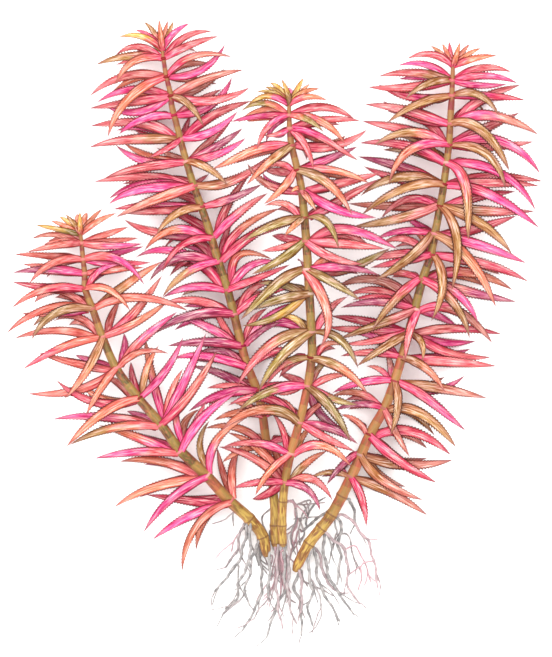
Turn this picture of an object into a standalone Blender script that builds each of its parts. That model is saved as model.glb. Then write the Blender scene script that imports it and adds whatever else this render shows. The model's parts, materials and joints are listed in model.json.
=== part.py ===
"""A limnophila: four leafy stems that share one crown of roots, lying on a flat surface.

The plant lies along Y with its shoot tips at +Y and its roots at -Y, and it is looked at from +Z.
Leaves grow in whorls. Each whorl is a collar of joined leaf bases round one joint of its stem. The
youngest leaves and the soft shoot tip that carries them are one crown. Roots grow out of the stems.
"""

import math
from collections import namedtuple

import bmesh
import bpy
from mathutils import Matrix, Vector
from mathutils.bvhtree import BVHTree

MM = 0.001

# Driving sizes, in millimetres
PLANT_LENGTH = 247.2
LEAF_WIDTH = 3.4
LEAF_THICKNESS = 0.7
YOUNG_LEAF_WIDTH = 1.3
FULL_LEAF_LENGTH = 34.0
COLLAR_HEIGHT = 1.3
COLLAR_WALL = 0.55
FIT_GAP = 0.35
TIER_HEIGHT = 0.9
ROOT_WIDTH = 1.15
ROOT_THICKNESS = 1.0
SPARE = 0.32
LEAST_LEAVES = 8

# Where the plant starts and ends in the picture, which sets the size of one picture unit
PICTURE_TOP = 20.0
PICTURE_BOTTOM = 638.0
PICTURE_MIDDLE = (275.6, 329.0)
PICTURE_UNIT = PLANT_LENGTH / (PICTURE_BOTTOM - PICTURE_TOP)

UP = Vector((0, 0, 1))

Colour = namedtuple("Colour", "red green blue roughness")
STEM_COLOUR = Colour(0.44, 0.26, 0.07, 0.5)
LEAF_COLOUR = Colour(0.72, 0.17, 0.15, 0.45)
YOUNG_COLOUR = Colour(0.83, 0.24, 0.12, 0.45)

# One section across an arm: a leaf or a root is a row of them
Section = namedtuple("Section", "centre across through width thickness")
# A ring round a stem: the place, the way to the shoot tip, the right hand side and the upper side
Station = namedtuple("Station", "centre along side upper radius")
# Leaves of one joint, each as tip and middle in picture units: beside the stem, over it and under it
Joint = namedtuple("Joint", "place beside over under", defaults=([], [], []))

# Centre lines from the shoot to the roots: place in picture units, height and radius in millimetres
LEFT_TALL_LINE = [
    (172.3, 107, 15, 1.15), (176.5, 123, 15, 1.2), (184.8, 155, 15, 1.3), (194.5, 187, 15, 1.4),
    (206.8, 222, 15, 1.5), (219, 262, 15, 1.55), (228, 290, 15, 1.6), (242, 346, 15, 1.65),
    (248, 367, 14.5, 1.65), (256, 387, 14, 1.65), (262, 410, 12.5, 1.65), (268, 455, 10, 1.65),
    (272, 480, 9, 1.65), (274.5, 505, 7, 1.7), (275, 530, 6, 1.8), (275.4, 547, 6, 1.7),
]
MIDDLE_LINE = [
    (290.3, 139, 36, 1.2), (291.5, 148, 36, 1.25), (297.3, 172, 36, 1.35), (301.5, 193, 36, 1.45),
    (306, 242, 35, 1.6), (309, 294, 34, 1.65), (311.5, 340, 33, 1.65), (311.3, 358, 32, 1.65),
    (307.4, 385, 30, 1.6), (299.4, 421, 26.5, 1.6), (290.8, 452, 23, 1.6), (285.6, 478, 20, 1.6),
    (283, 500, 17.5, 1.6), (282, 524, 14.5, 1.65), (283, 546, 12, 1.6),
]
RIGHT_LINE = [
    (450.2, 109, 16, 1.25), (449.3, 125, 16, 1.25), (448, 146, 16, 1.3), (443, 185, 16, 1.4),
    (439.3, 207, 16, 1.45), (430, 255, 16, 1.55), (421.8, 280, 16, 1.6), (408, 333, 16, 1.7),
    (394, 381, 16, 1.8), (384, 408, 15.5, 1.85), (369.5, 434, 14.5, 1.9), (351, 476, 12.5, 2.0),
    (331.5, 513.7, 10, 2.1), (309, 543, 8, 2.1), (294.4, 571, 6.5, 1.8),
]
LEFT_SHORT_LINE = [
    (86.4, 281.5, 24, 1.2), (86.9, 290, 24, 1.25), (94, 309, 24, 1.35), (104, 337, 24, 1.5),
    (117.7, 368, 24.5, 1.6), (140, 398, 25, 1.7), (162, 423.5, 25, 1.8), (181, 449.4, 24, 1.9),
    (206.4, 474, 20, 2.0), (229.4, 499.6, 15, 2.1), (249.5, 518, 11, 2.15), (262.8, 536, 8, 2.1),
    (267, 556.5, 6.5, 1.8),
]

# Leaves of the tall stem on the left, from the shoot down
LEFT_TALL_CROWN = [
    Joint((171.5, 97),
          [(96.5, 104, 130, 91), (89, 110, 128, 104), (102.5, 104.5, 140, 113), (244.5, 71, 205, 81),
           (250.5, 88.5, 210, 103)],
          [(204.5, 128.5, 190, 107)], [(225, 68, 205, 85)]),
    Joint((167, 78),
          [(90, 98, 125, 78), (233.7, 59.4, 193, 59), (226, 45, 207, 68)], [(109, 140, 128, 102)],
          [(217, 84, 195, 80)]),
    Joint((164, 60),
          [(96, 67, 130, 58), (115.5, 57.5, 135, 48), (213, 33, 190, 36), (219.5, 38, 190, 47)],
          [(116.5, 87, 128, 68)], [(197, 52, 184, 47)]),
    Joint((163, 52),
          [(119, 39, 140, 38), (135, 31, 148, 36), (144, 22.5, 151, 29), (191, 25, 178, 32),
           (174, 22, 170, 34)],
          [(160, 21, 161, 33)], [(168, 20, 165, 32), (142, 31, 149, 38)]),
]
LEFT_TALL_JOINTS = [
    Joint((174, 117), [(119.5, 136, 148, 119), (232.5, 78, 222, 97)], [], [(222, 89, 205, 98)]),
    Joint((181.5, 140),
          [(90.5, 127, 145, 125), (89, 149, 130, 141), (149, 159, 167, 150), (252, 102, 212, 117),
           (238, 112.5, 210, 134)], [], [(133, 129, 150, 136), (191, 114, 186, 127)]),
    Joint((187, 162),
          [(116, 145.5, 145, 162), (105.5, 179, 140, 169), (230, 124, 208, 144),
           (246, 139, 222, 154), (243, 129, 233, 137)], [(228.5, 187, 208, 169)],
          [(124, 143, 140, 153), (157, 148, 170, 155)]),
    Joint((194.5, 187),
          [(93.5, 182.5, 150, 178), (109, 200, 145, 185), (109, 206, 140, 191),
           (267, 158, 225, 184)], [(116.5, 218.5, 150, 203)], [(209, 174, 201, 180)]),
    Joint((201.5, 208),
          [(113.5, 210, 150, 207), (122, 214, 165, 211), (262, 185, 232, 199)],
          [(157, 236, 172, 218)], [(150, 189, 180, 194)]),
    Joint((213, 238),
          [(145, 251.5, 172, 231), (124.5, 219.5, 150, 231), (163, 273, 180, 247),
           (250, 175.5, 228, 205), (268, 194, 235, 217)], [], [(160, 208, 187, 218)]),
    Joint((219, 262),
          [(150, 282, 175, 259), (163, 297.5, 188, 273), (280, 209, 240, 231), (292, 215, 250, 237)],
          [], [(155, 240, 185, 237), (183, 247, 200, 249), (233, 217, 224, 240)]),
    Joint((228, 290),
          [(136, 258, 185, 254), (163, 298, 195, 287), (290, 265, 260, 278), (273, 260, 238, 256),
           (280, 263, 255, 264)]),
    Joint((235, 314),
          [(163, 304, 199, 301), (150, 337, 190, 316), (292, 288, 262, 296), (280, 281, 252, 290)]),
    Joint((242, 346),
          [(175, 315, 210, 328), (168, 346, 205, 342), (302, 302, 268, 318), (282, 322, 262, 330),
           (268, 308, 252, 322), (211, 300, 222, 322)]),
    Joint((248, 367),
          [(195, 355, 220, 350), (172, 359, 205, 356), (298, 350, 272, 352)]),
    Joint((257, 390),
          [(191.5, 366, 222, 374), (207, 388, 235, 386), (189, 411, 215, 396), (300, 386, 280, 384)]),
    Joint((263, 415), [(214, 420, 238, 412), (300, 412, 284, 408), (230, 402, 246, 404)]),
    Joint((266.5, 443),
          [(222, 462, 243, 449), (304, 446, 288, 438), (238, 430, 252, 433),
           (205, 428, 235, 427)]),
]

# Leaves of the middle stem
MIDDLE_CROWN = [
    Joint((289.5, 131),
          [(360, 123.5, 320, 123), (357.5, 163, 315, 138), (263, 138, 277, 137)],
          [(313, 172, 307, 152)]),
    Joint((289, 118),
          [(241, 114, 265, 106), (231.5, 124.5, 262, 118.5), (257, 153, 268, 130),
           (355, 123.5, 325, 110), (344.5, 147, 325, 127)], [(323, 135, 310, 124)],
          [(238, 124, 262, 113)]),
    Joint((289, 108),
          [(247.5, 108.5, 266, 99), (256, 95, 270, 95), (264.5, 89.5, 275, 93), (269.5, 85, 277, 89),
           (303.5, 80, 298, 90), (310, 86, 302, 94), (320, 92, 309, 93)],
          [(327, 104, 312, 100), (281, 82, 285, 90)],
          [(289, 88, 290, 97)]),
]
MIDDLE_JOINTS = [
    Joint((291.5, 148),
          [(213, 171, 262, 151), (366.5, 131.5, 335, 148)], [(247, 187, 270, 164)]),
    Joint((297, 172),
          [(368.5, 185.5, 337, 174), (357, 148.5, 325, 162), (265, 171, 280, 166)],
          [(351, 217, 325, 184), (264, 206, 281, 192)], [(262, 169, 280, 173)]),
    Joint((301.5, 193),
          [(375, 219, 332, 209), (380, 174.5, 345, 184), (247.5, 165, 262, 183),
           (290, 195, 296, 190)], [(316, 213, 309, 202)]),
    Joint((304, 219),
          [(377, 181, 330, 207), (265, 207, 288, 207)],
          [(243, 243, 275, 226), (284, 238, 293, 228), (338, 251, 322, 221)]),
    Joint((306, 242.5),
          [(396, 250, 345, 231), (384, 250, 345, 245), (362, 265, 330, 258)],
          [(252, 275, 278, 262), (262, 252, 285, 248)], [(272, 236, 287, 239)]),
    Joint((307.5, 270),
          [(378, 276, 345, 268), (345, 262, 322, 262), (389, 249, 345, 270)],
          [(241, 320, 275, 286), (319, 347, 327, 312), (360, 301, 330, 282)],
          [(298, 261, 302, 263)]),
    Joint((309, 294),
          [(258, 284, 285, 286), (242, 326, 275, 317)], [(243, 312, 275, 301)], [(320, 284, 314, 287)]),
    Joint((310.7, 332),
          [(277, 317, 293, 318), (347, 297, 333, 305)],
          [(238, 385, 270, 345), (259, 391, 280, 358), (357, 368, 335, 337)], [(250, 330, 280, 322)]),
    Joint((311.5, 357),
          [(266, 386, 288, 362), (345, 346, 325, 345)], [(367, 394, 340, 368)]),
    Joint((307.4, 385),
          [(277, 394, 292, 390), (348, 375, 325, 378), (333, 359, 320, 366)],
          [(237, 411, 277, 388), (358, 404, 330, 397), (350, 441, 333, 411)],
          [(280, 373, 292, 378), (345, 430, 320, 414)]),
    Joint((299.4, 421.5),
          [(272, 397, 288, 405), (330, 400, 314, 408), (354, 450, 317, 432), (228, 405, 265, 397),
           (357, 443, 328, 427)],
          [(222, 430, 262, 408)]),
    Joint((290.8, 452),
          [(222, 447, 260, 442), (272, 412, 282, 428), (313, 425, 301, 438)],
          [(351, 466, 318, 444), (255.5, 494, 262, 481)]),
    Joint((285.6, 480),
          [(262, 447, 272, 461), (219, 446, 249, 455), (233, 487, 258, 481), (327, 450, 308, 461),
           (228, 432, 256, 446)],
          [(332, 499, 312, 478), (320, 509.5, 312, 492)],
          [(268, 441, 280, 461), (252, 499, 268, 493)]),
]

# Leaves of the stem on the right
RIGHT_CROWN = [
    Joint((451, 97), [(376.6, 84.8, 415, 99), (524.5, 102, 485, 97)],
          [(497.8, 118, 478, 97), (385.5, 125, 412, 108)]),
    Joint((451.5, 82),
          [(376.6, 78.2, 420, 75), (365.7, 88.3, 405, 89), (396.4, 67, 425, 66),
           (511, 73.4, 483, 69), (517, 84.8, 492, 78), (506, 85.7, 480, 87)],
          [(404, 101, 421, 88)]),
    Joint((452, 68),
          [(405.3, 61, 428, 56), (429.5, 47, 438, 53), (441.6, 44, 445, 52), (496.2, 57.4, 474, 60),
           (480.3, 49.4, 467, 56), (469.4, 45, 461, 54)], [(459, 43.5, 456, 54)],
          [(449, 41, 450, 52)]),
]
RIGHT_JOINTS = [
    Joint((449.5, 125),
          [(363.2, 106, 400, 111), (381.7, 101.4, 400, 113), (520, 86, 478, 102),
           (537.3, 136.5, 490, 117)], [(507.3, 172.2, 480, 132)]),
    Joint((448, 146),
          [(398, 117, 425, 123), (361, 122, 411, 133), (519.5, 113, 480, 131),
           (539, 175.5, 500, 142), (533.5, 142, 490, 148)],
          [(372.5, 147.5, 405, 134), (388, 185, 403, 156), (504, 191, 484, 155)]),
    Joint((445.2, 164),
          [(358, 144.5, 405, 147), (398, 138, 425, 146), (534, 212, 500, 174)],
          [(467, 241, 463, 185)], [(490, 173, 470, 164)]),
    Joint((443, 185.6),
          [(357, 157, 405, 169), (363, 167, 398, 180), (542.5, 182, 490, 178),
           (538.6, 187, 500, 184), (538.5, 229.5, 490, 196)],
          [(360, 197, 398, 178), (361, 216, 403, 190)]),
    Joint((439.5, 207),
          [(380, 220, 415, 200), (514.3, 192, 475, 198), (534, 211.8, 487, 212),
           (348, 204, 392, 207)],
          [(350, 228, 400, 219), (510.5, 255.5, 483, 227), (450, 291, 455, 240)],
          [(422.5, 194.5, 430, 199)]),
    Joint((434.6, 235),
          [(375, 240, 405, 231), (516, 216, 475, 229), (525.5, 264, 482, 247)],
          [(373, 281.5, 410, 257), (494.5, 308, 468, 260)], [(402, 214, 418, 225)]),
    Joint((430, 255),
          [(380, 245, 400, 239), (528, 282.5, 488, 266), (360, 262, 395, 255), (370, 268, 400, 262),
           (412, 232, 424, 242)],
          [(430, 321, 441, 280)]),
    Joint((421.8, 280),
          [(380, 276, 400, 273), (512.4, 290.6, 465, 272), (515.8, 302, 475, 294),
           (477, 324, 455, 294)],
          [(371, 331, 397, 297), (468, 338.5, 452, 302)]),
    Joint((414.4, 309.5),
          [(340, 308, 385, 303), (338, 339, 375, 325), (491.5, 343.5, 455, 310), (335, 290, 380, 280),
           (346, 296, 380, 291), (352, 300, 380, 298)],
          [(404, 360, 409, 330)], [(371, 329, 392, 318), (459, 328, 438, 316)]),
    Joint((408, 333),
          [(502, 334.5, 455, 329), (490.8, 356.8, 450, 353), (330, 316, 368, 322),
           (326, 327, 362, 330), (342, 344, 375, 341)],
          [(356, 366, 385, 346), (421, 361, 422, 347)], [(476, 341, 445, 343)]),
    Joint((401, 357),
          [(496, 366, 455, 362), (340, 356, 372, 352), (352, 334, 380, 340)], [(444, 392, 422, 366)],
          [(471, 348.7, 440, 357)]),
    Joint((394.5, 381),
          [(464.5, 375, 425, 390), (465, 430.5, 425, 398), (487, 398, 440, 388),
           (332, 392.5, 365, 381), (384, 350, 390, 365), (366, 366, 380, 370)],
          [(389, 435, 397, 405)]),
    Joint((384, 408),
          [(334, 410, 360, 403), (330, 397, 358, 393)],
          [(455, 447, 420, 413), (408.5, 455.7, 398, 437)]),
    Joint((369, 434),
          [(450.5, 455, 410, 431), (436.5, 482, 400, 461), (340, 414, 356, 420)]),
    Joint((363, 455),
          [(453, 459, 410, 464), (422.5, 499, 383, 480), (326.5, 484, 338, 468)]),
    Joint((351, 476),
          [(427.5, 515, 390, 491), (310, 477, 332, 471)], [(365.7, 526, 361, 497)]),
]

# Leaves of the short stem on the left
LEFT_SHORT_CROWN = [
    Joint((86.2, 274), [(24, 264.6, 50, 268), (14.3, 273.5, 50, 270), (146, 268, 118, 270)]),
    Joint((84.7, 260),
          [(15.8, 255, 50, 256), (145, 247, 115, 254), (152, 263, 120, 264)],
          [(31.6, 284.7, 52, 265), (145.9, 285.7, 120, 260)]),
    Joint((83, 244),
          [(45, 245.4, 65, 242), (29, 253, 57, 247), (32.7, 240, 57, 235), (139.8, 238.6, 110, 242),
           (143.9, 244.4, 113, 247), (129.6, 227.6, 105, 236)]),
    Joint((82, 235),
          [(37, 225.7, 56, 229), (51.5, 221, 64, 226), (60, 217, 70, 223), (118.4, 214, 102, 221),
           (104, 209.7, 93, 220)],
          [(82, 212, 82, 222), (67, 215, 74, 222)], [(76.5, 214, 79, 222), (88, 213, 85, 222)]),
]
LEFT_SHORT_JOINTS = [
    Joint((86.8, 288.5),
          [(13.3, 282, 50, 288), (13.8, 308.7, 50, 289), (122, 265, 100, 272)],
          [(131.6, 311, 112, 291)]),
    Joint((94, 309),
          [(40, 293, 65, 293), (8.7, 333.7, 50, 308), (23, 313.5, 55, 314), (163, 262, 130, 283),
           (189, 311, 140, 298)], [(33.7, 340.8, 52, 317)]),
    Joint((104, 337),
          [(55, 321, 78, 317), (15.8, 338.7, 60, 330), (24.9, 369, 66, 347), (163, 276, 135, 313),
           (170, 300, 135, 324)], [(66.5, 398.5, 90, 368)], [(120, 300, 111, 319)]),
    Joint((117.7, 368),
          [(39.8, 352.3, 80, 364), (29, 393, 80, 389), (170, 353.5, 140, 352),
           (178, 312, 143, 340)], [(87.9, 415, 103, 387)],
          [(75.5, 354.8, 95, 362), (124, 333, 125, 350)]),
    Joint((140, 398),
          [(58, 378.9, 95, 401), (160, 345, 147, 372), (184, 337, 165, 372)],
          [(68, 446.4, 105, 412)], [(105, 377, 122, 385), (131, 362, 134, 380)]),
    Joint((162, 423.5),
          [(53, 419, 107, 416), (71, 444.4, 115, 427), (184, 368, 172, 393), (218, 350, 190, 394),
           (207, 333, 188, 375)],
          [], [(127, 411, 145, 417), (145, 337, 151, 370)]),
    Joint((181, 449.4),
          [(99.5, 424.5, 140, 437), (95.4, 457.6, 140, 451), (183, 380, 177, 411),
           (240, 390, 205, 415), (207, 400, 195, 424)], [], [(200, 409, 184, 425)]),
    Joint((206.4, 474),
          [(120, 461, 165, 461), (114.4, 506.6, 155, 486), (144.3, 531.4, 172, 497),
           (210, 420, 200, 445), (250, 415, 212, 452)], [], [(166, 466, 185, 467)]),
    Joint((229.4, 499.6),
          [(146.8, 494, 185, 499), (152.6, 539, 190, 515), (183, 571, 196, 525)],
          [], [(217, 447, 222, 470), (240, 448, 232, 472)]),
]

# Roots of each stem: the joint that they leave, then their points in picture units
LEFT_TALL_ROOTS = [
    ((275, 530), [(268, 540), (261, 548), (258.5, 566)]),
    ((275.4, 544), [(276.8, 563), (276.8, 586.6), (278, 606), (283, 628.7)]),
]
MIDDLE_ROOTS = [
    ((283, 500), [(293, 502), (297, 518), (292, 536), (294, 548)]),
    ((282.8, 543), [(284.5, 568), (285, 589), (276.8, 605), (266.3, 638)]),
    ((282.3, 533), [(289, 556), (288, 589), (291, 610.5), (297, 624.5)]),
]
RIGHT_ROOTS = [
    ((341, 495.5), [(350, 500), (353, 508), (355.4, 525)]),
    ((331.5, 513.7), [(341, 523), (338.5, 543), (340, 558.6), (337, 585)]),
    ((331.5, 513.7), [(345, 515), (362, 533), (372, 553), (377.8, 588)]),
    ((331.5, 513.7), [(320, 516), (310, 524), (302, 532)]),
    ((321, 528), [(323.5, 550), (330, 578), (342.8, 599), (354, 614.7)]),
    ((321, 528), [(334, 540), (346, 553), (348.4, 586.6), (360, 604)]),
    ((309, 543), [(316, 560), (319, 583), (332, 607), (340, 621.7)]),
    ((309, 543), [(308, 566), (312, 590), (308, 608), (312.6, 626)]),
    ((309, 543), [(320, 556), (326, 580), (341.4, 595)]),
    ((296.5, 567), [(294.4, 586.6), (300.7, 606), (301.4, 636.4)]),
    ((296.5, 567), [(301, 580), (302, 592), (300.7, 613)]),
]
LEFT_SHORT_ROOTS = [
    ((249.5, 518), [(241, 530), (236, 551), (225, 568)]),
    ((249.5, 518), [(245, 540), (237, 563), (214, 592)]),
    ((249.5, 518), [(250, 545), (250, 571), (245, 590), (250, 606)]),
    ((262.8, 536), [(258, 552), (262, 578), (258, 602), (242.4, 630.8)]),
    ((265.8, 551), [(270, 566), (268.4, 580), (268.4, 596.5)]),
    ((262.8, 536), [(252, 556), (240, 580), (236, 599), (222, 614.7)]),
]

Stem = namedtuple("Stem", "name line crown joints roots")
STEMS = [
    Stem("right", RIGHT_LINE, RIGHT_CROWN, RIGHT_JOINTS, RIGHT_ROOTS),
    Stem("left_tall", LEFT_TALL_LINE, LEFT_TALL_CROWN, LEFT_TALL_JOINTS, LEFT_TALL_ROOTS),
    Stem("left_short", LEFT_SHORT_LINE, LEFT_SHORT_CROWN, LEFT_SHORT_JOINTS, LEFT_SHORT_ROOTS),
    Stem("middle", MIDDLE_LINE, MIDDLE_CROWN, MIDDLE_JOINTS, MIDDLE_ROOTS),
]

TURN = 2 * math.pi
STEM_SIDES = 8
ROOT_BAND = 1.2
ROOT_SINK = 1.6
LONG_LEAF = 30.0

# Where along a leaf its sections are, and how wide each is beside the leaf's full width
LONG_SECTIONS = ((0.3, 0.95), (0.68, 0.8))
SHORT_SECTIONS = ((0.48, 1.0),)
BASE_THICKNESS = 1.15
THICKNESS_LOSS = 0.45

# How far leaves grow round their joint from straight sideways or from straight over and under
BESIDE_SPREAD = 0.08
ROUND_SPREAD = 0.13
LEAF_TILT = math.radians(24)
TILT_PACE = 2.4
STEEP = 0.2

# Heights over the stem that leaves rise to, and the steps tried round them, in millimetres
OVER_TIP_RISE = 9.0
OVER_MIDDLE_RISE = 7.5
BESIDE_TIP_RISE = 7.0
BESIDE_MIDDLE_RISE = 5.0
ARCH_RISE = 1.5
UNDER_DROP = 23.0
HIGHEST_ABOVE_STEM = 16.0
LOWEST_TIP = 0.4
LOWEST_MIDDLE = 0.8
HEIGHT_STEPS = (0, 1.5, -1.5, 3, -3, 4.5, -4.5, 6, -6, 8, -8, 10, -10, 12, -12)
BEND_STEPS = (0, 1.5, -1.5, 3, -3, 5, -5)
TILT_COST = 4.0
ROOT_HEIGHTS = (0.75, 2.1, 3.5, 4.9, 6.3, 8.0)

# A hidden leaf is this much shorter than the leaf over it
SHADE_SHARE = 0.72
TIP_TAPER = 0.4
SHARP_EDGE = math.radians(35)


def at(place, height):
    """A place in picture units, at a height in millimetres, as a point of the plant."""
    u, v = place
    return Vector(((u - PICTURE_MIDDLE[0]) * PICTURE_UNIT, (PICTURE_MIDDLE[1] - v) * PICTURE_UNIT, height))


def station(centre, along, radius):
    """A ring round a stem, seen along the stem."""
    along = along.normalized()
    side = along.cross(UP).normalized()
    return Station(centre, along, side, side.cross(along), radius)


def way(ring, turn):
    """The way out of a ring, turned from its right hand side over its top."""
    return math.cos(turn) * ring.side + math.sin(turn) * ring.upper


class Line:
    """A stem's centre line, from its shoot to its roots, measured by the distance from the shoot."""

    def __init__(self, rows):
        self.points = [at(row[:2], row[2]) for row in rows]
        self.radii = [row[3] for row in rows]
        self.marks = [0.0]
        for start, end in zip(self.points, self.points[1:]):
            self.marks.append(self.marks[-1] + (end - start).length)

    def ring(self, mark):
        """The ring at a distance from the shoot."""
        last = len(self.marks) - 2
        index = next((i for i in range(last) if mark < self.marks[i + 1]), last)
        start, end = self.points[index], self.points[index + 1]
        share = (mark - self.marks[index]) / (self.marks[index + 1] - self.marks[index])
        radius = self.radii[index] + share * (self.radii[index + 1] - self.radii[index])
        before = self.points[max(0, index - (share < 0.5))]
        after = self.points[min(len(self.points) - 1, index + 1 + (share >= 0.5))]
        return station(start.lerp(end, share), before - after, radius)

    def mark_of(self, place):
        """The distance from the shoot of the point nearest to a place."""
        best = (math.inf, 0.0)
        for index, (start, end) in enumerate(zip(self.points, self.points[1:])):
            flat = (end - start).xy
            share = (at(place, 0).xy - start.xy).dot(flat) / flat.length_squared
            share = min(1.0, max(0.0, share))
            away = (start.lerp(end, share).xy - at(place, 0).xy).length
            mark = self.marks[index] + share * (self.marks[index + 1] - self.marks[index])
            best = min(best, (away, mark))
        return best[1]


def corners(section, spare=0.0):
    """The four corners of a section, in order round it."""
    across = section.across * (section.width / 2 + spare)
    through = section.through * (section.thickness / 2 + spare)
    centre = section.centre
    return [centre - across - through, centre + across - through,
            centre + across + through, centre - across + through]


Shell = namedtuple("Shell", "tree corners low high")
Arm = namedtuple("Arm", "node stem fat true")


def shell_of(loops, tip=None):
    """A mesh through loops of points, as a tree for overlap tests. Without a tip it has end caps."""
    count = len(loops[0])
    points = [point for loop in loops for point in loop]
    end = len(points) - count
    faces = []
    for first in range(0, end, count):
        for i in range(count):
            j = (i + 1) % count
            quad = (first + i, first + j, first + count + j, first + count + i)
            if (points[quad[0]] - points[quad[2]]).length > (points[quad[1]] - points[quad[3]]).length:
                quad = quad[1:] + quad[:1]
            faces += [(quad[0], quad[1], quad[2]), (quad[0], quad[2], quad[3])]
    if tip is None:
        faces += [tuple(range(count)), tuple(range(end, end + count))]
    else:
        faces += [(end + i, end + (i + 1) % count, end + count) for i in range(count)]
        points.append(tip)
    spots = [tuple(round(value, 3) for value in point) for point in points]
    low = [min(point[axis] for point in points) for axis in range(3)]
    high = [max(point[axis] for point in points) for axis in range(3)]
    return Shell(BVHTree.FromPolygons(points, faces), [{spots[i] for i in face} for face in faces], low, high)


def arm_of(node, stem, sections, tip):
    """A leaf or a root as overlap tests see it: as it is, and with spare room round it."""
    return Arm(node, stem, shell_of([corners(section, SPARE / 2) for section in sections], tip),
               shell_of([corners(section) for section in sections], tip))


def meet(first, second):
    """Whether two shells cross. Faces that share a corner only touch there."""
    if any(first.low[i] > second.high[i] or second.low[i] > first.high[i] for i in range(3)):
        return False
    return any(first.corners[a].isdisjoint(second.corners[b]) for a, b in first.tree.overlap(second.tree))


def is_free(arm, placed):
    """Whether an arm crosses neither itself nor what is placed. Other nodes get spare room too."""
    if meet(arm.true, arm.true):
        return False
    for other in placed:
        same_node = other.node == arm.node
        own_stem = other.node == "stem_" + arm.stem
        mine = arm.true if same_node or own_stem else arm.fat
        theirs = other.true if same_node else other.fat
        if meet(mine, theirs):
            return False
    return True


def shifted(ring, amount):
    """A ring moved along its stem."""
    return ring._replace(centre=ring.centre + ring.along * amount)


def ring_corners(ring, sides):
    """The corners of a ring, half a face away from the middles of its faces."""
    reach = ring.radius / math.cos(math.pi / sides)
    return [ring.centre + way(ring, (k - 0.5) * TURN / sides) * reach for k in range(sides)]


def rod(node, stem, rings, sides):
    """A stem, a collar or a shoot tip as overlap tests see it."""
    fat = [ring._replace(radius=ring.radius + SPARE) for ring in rings]
    return Arm(node, stem, shell_of([ring_corners(ring, sides) for ring in fat]),
               shell_of([ring_corners(ring, sides) for ring in rings]))


def facet(ring, slot, slots, thickness):
    """The flat face of a ring that an arm grows from."""
    turn = slot * TURN / slots
    centre = ring.centre + way(ring, turn) * ring.radius
    width = 2 * ring.radius * math.tan(math.pi / slots)
    return Section(centre, way(ring, turn + TURN / 4), ring.along, width, thickness)


def wanted_turn(ring, kind, tip):
    """How far round its joint a leaf would grow, for where it is seen."""
    reach = tip - ring.centre
    sideways = reach.dot(ring.side) / reach.length
    down = -reach.dot(ring.along) / reach.length
    if kind == "over":
        return TURN * (1 / 4 - ROUND_SPREAD * sideways)
    if kind == "under":
        return TURN * (3 / 4 + ROUND_SPREAD * sideways)
    return TURN * (BESIDE_SPREAD * down if sideways > 0 else 1 / 2 - BESIDE_SPREAD * down)


def deal(turns, slots):
    """Deals leaves out evenly over a ring's faces, in the order of their turns."""
    order = sorted(range(len(turns)), key=lambda i: turns[i] % TURN)
    best = (math.inf, None)
    for shift in range(slots):
        slot_of, error = {}, 0.0
        for rank, leaf in enumerate(order):
            slot = (rank * slots // len(turns) + shift) % slots
            miss = (turns[leaf] - slot * TURN / slots + math.pi) % TURN - math.pi
            error += miss * miss
            slot_of[leaf] = slot
        if error < best[0]:
            best = (error, slot_of)
    return best[1]


def settle(section, last):
    """The section with its sides named so that they turn least from those of the section before."""
    centre, across, through, width, thickness = section
    names = [section, Section(centre, -across, -through, width, thickness),
             Section(centre, through, -across, thickness, width),
             Section(centre, -through, across, thickness, width)]
    return max(names, key=lambda name: name.across.dot(last.across) + name.through.dot(last.through))


def leaf_sections(base, middle, tip, long_leaf, tilt):
    """The sections of an arching leaf between its base and its tip. It turns its face up."""
    bend = 2 * middle - (base.centre + tip) / 2
    length = (middle - base.centre).length + (tip - middle).length
    young = min(1.0, length / FULL_LEAF_LENGTH)
    width = YOUNG_LEAF_WIDTH + (LEAF_WIDTH - YOUNG_LEAF_WIDTH) * young
    sections = [base]
    for share, full in LONG_SECTIONS if long_leaf else SHORT_SECTIONS:
        centre = base.centre.lerp(bend, share).lerp(bend.lerp(tip, share), share)
        forward = (bend - base.centre).lerp(tip - bend, share).normalized()
        across = UP.cross(forward)
        across = across.normalized() if across.length > STEEP else base.across
        across = Matrix.Rotation(tilt, 3, forward) @ across
        section = Section(centre, across, across.cross(forward), width * full,
                          LEAF_THICKNESS * (BASE_THICKNESS - THICKNESS_LOSS * share))
        lowest = min(corner.z for corner in corners(section))
        lift = Vector((0, 0, max(0.0, -lowest)))
        sections.append(settle(section._replace(centre=centre + lift), sections[-1]))
    return sections


def leaf_heights(kind, ring, turn):
    """The heights that a leaf's tip and middle would like best."""
    if kind == "over":
        return ring.centre.z + OVER_TIP_RISE, ring.centre.z + OVER_MIDDLE_RISE
    if kind == "under":
        return ring.centre.z - UNDER_DROP, max(ARCH_RISE, ring.centre.z - UNDER_DROP / 2)
    rise = math.sin(turn)
    return ring.centre.z + BESIDE_TIP_RISE * rise, ring.centre.z + BESIDE_MIDDLE_RISE * rise + ARCH_RISE


def place_leaf(node, stem, ring, base, turn, kind, row, order, placed):
    """Finds heights at which a leaf clears all that is placed, and returns its sections and its tip."""
    tip_height, middle_height = leaf_heights(kind, ring, turn)
    tilt = LEAF_TILT * math.sin(TILT_PACE * order)
    ceiling = ring.centre.z + HIGHEST_ABOVE_STEM
    nearest = sorted((abs(step) + abs(bend) + TILT_COST * abs(1 - share), step, bend, share)
                     for step in HEIGHT_STEPS for bend in BEND_STEPS for share in (1, 0, -1))
    for _, step, bend, share in nearest:
        tip = at(row[:2], min(ceiling, max(LOWEST_TIP, tip_height + step)))
        middle = at(row[2:], min(ceiling, max(LOWEST_MIDDLE, middle_height + step / 2 + bend)))
        far = (tip - base.centre).length > LONG_LEAF and kind != "under"
        sections = leaf_sections(base, middle, tip, far, share * tilt)
        arm = arm_of(node, stem, sections, tip)
        if is_free(arm, placed):
            placed.append(arm)
            return sections, tip
    return None


def loop_of(bm, ring, sides):
    """The corners of a ring as vertices."""
    return [bm.verts.new(point) for point in ring_corners(ring, sides)]


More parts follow.
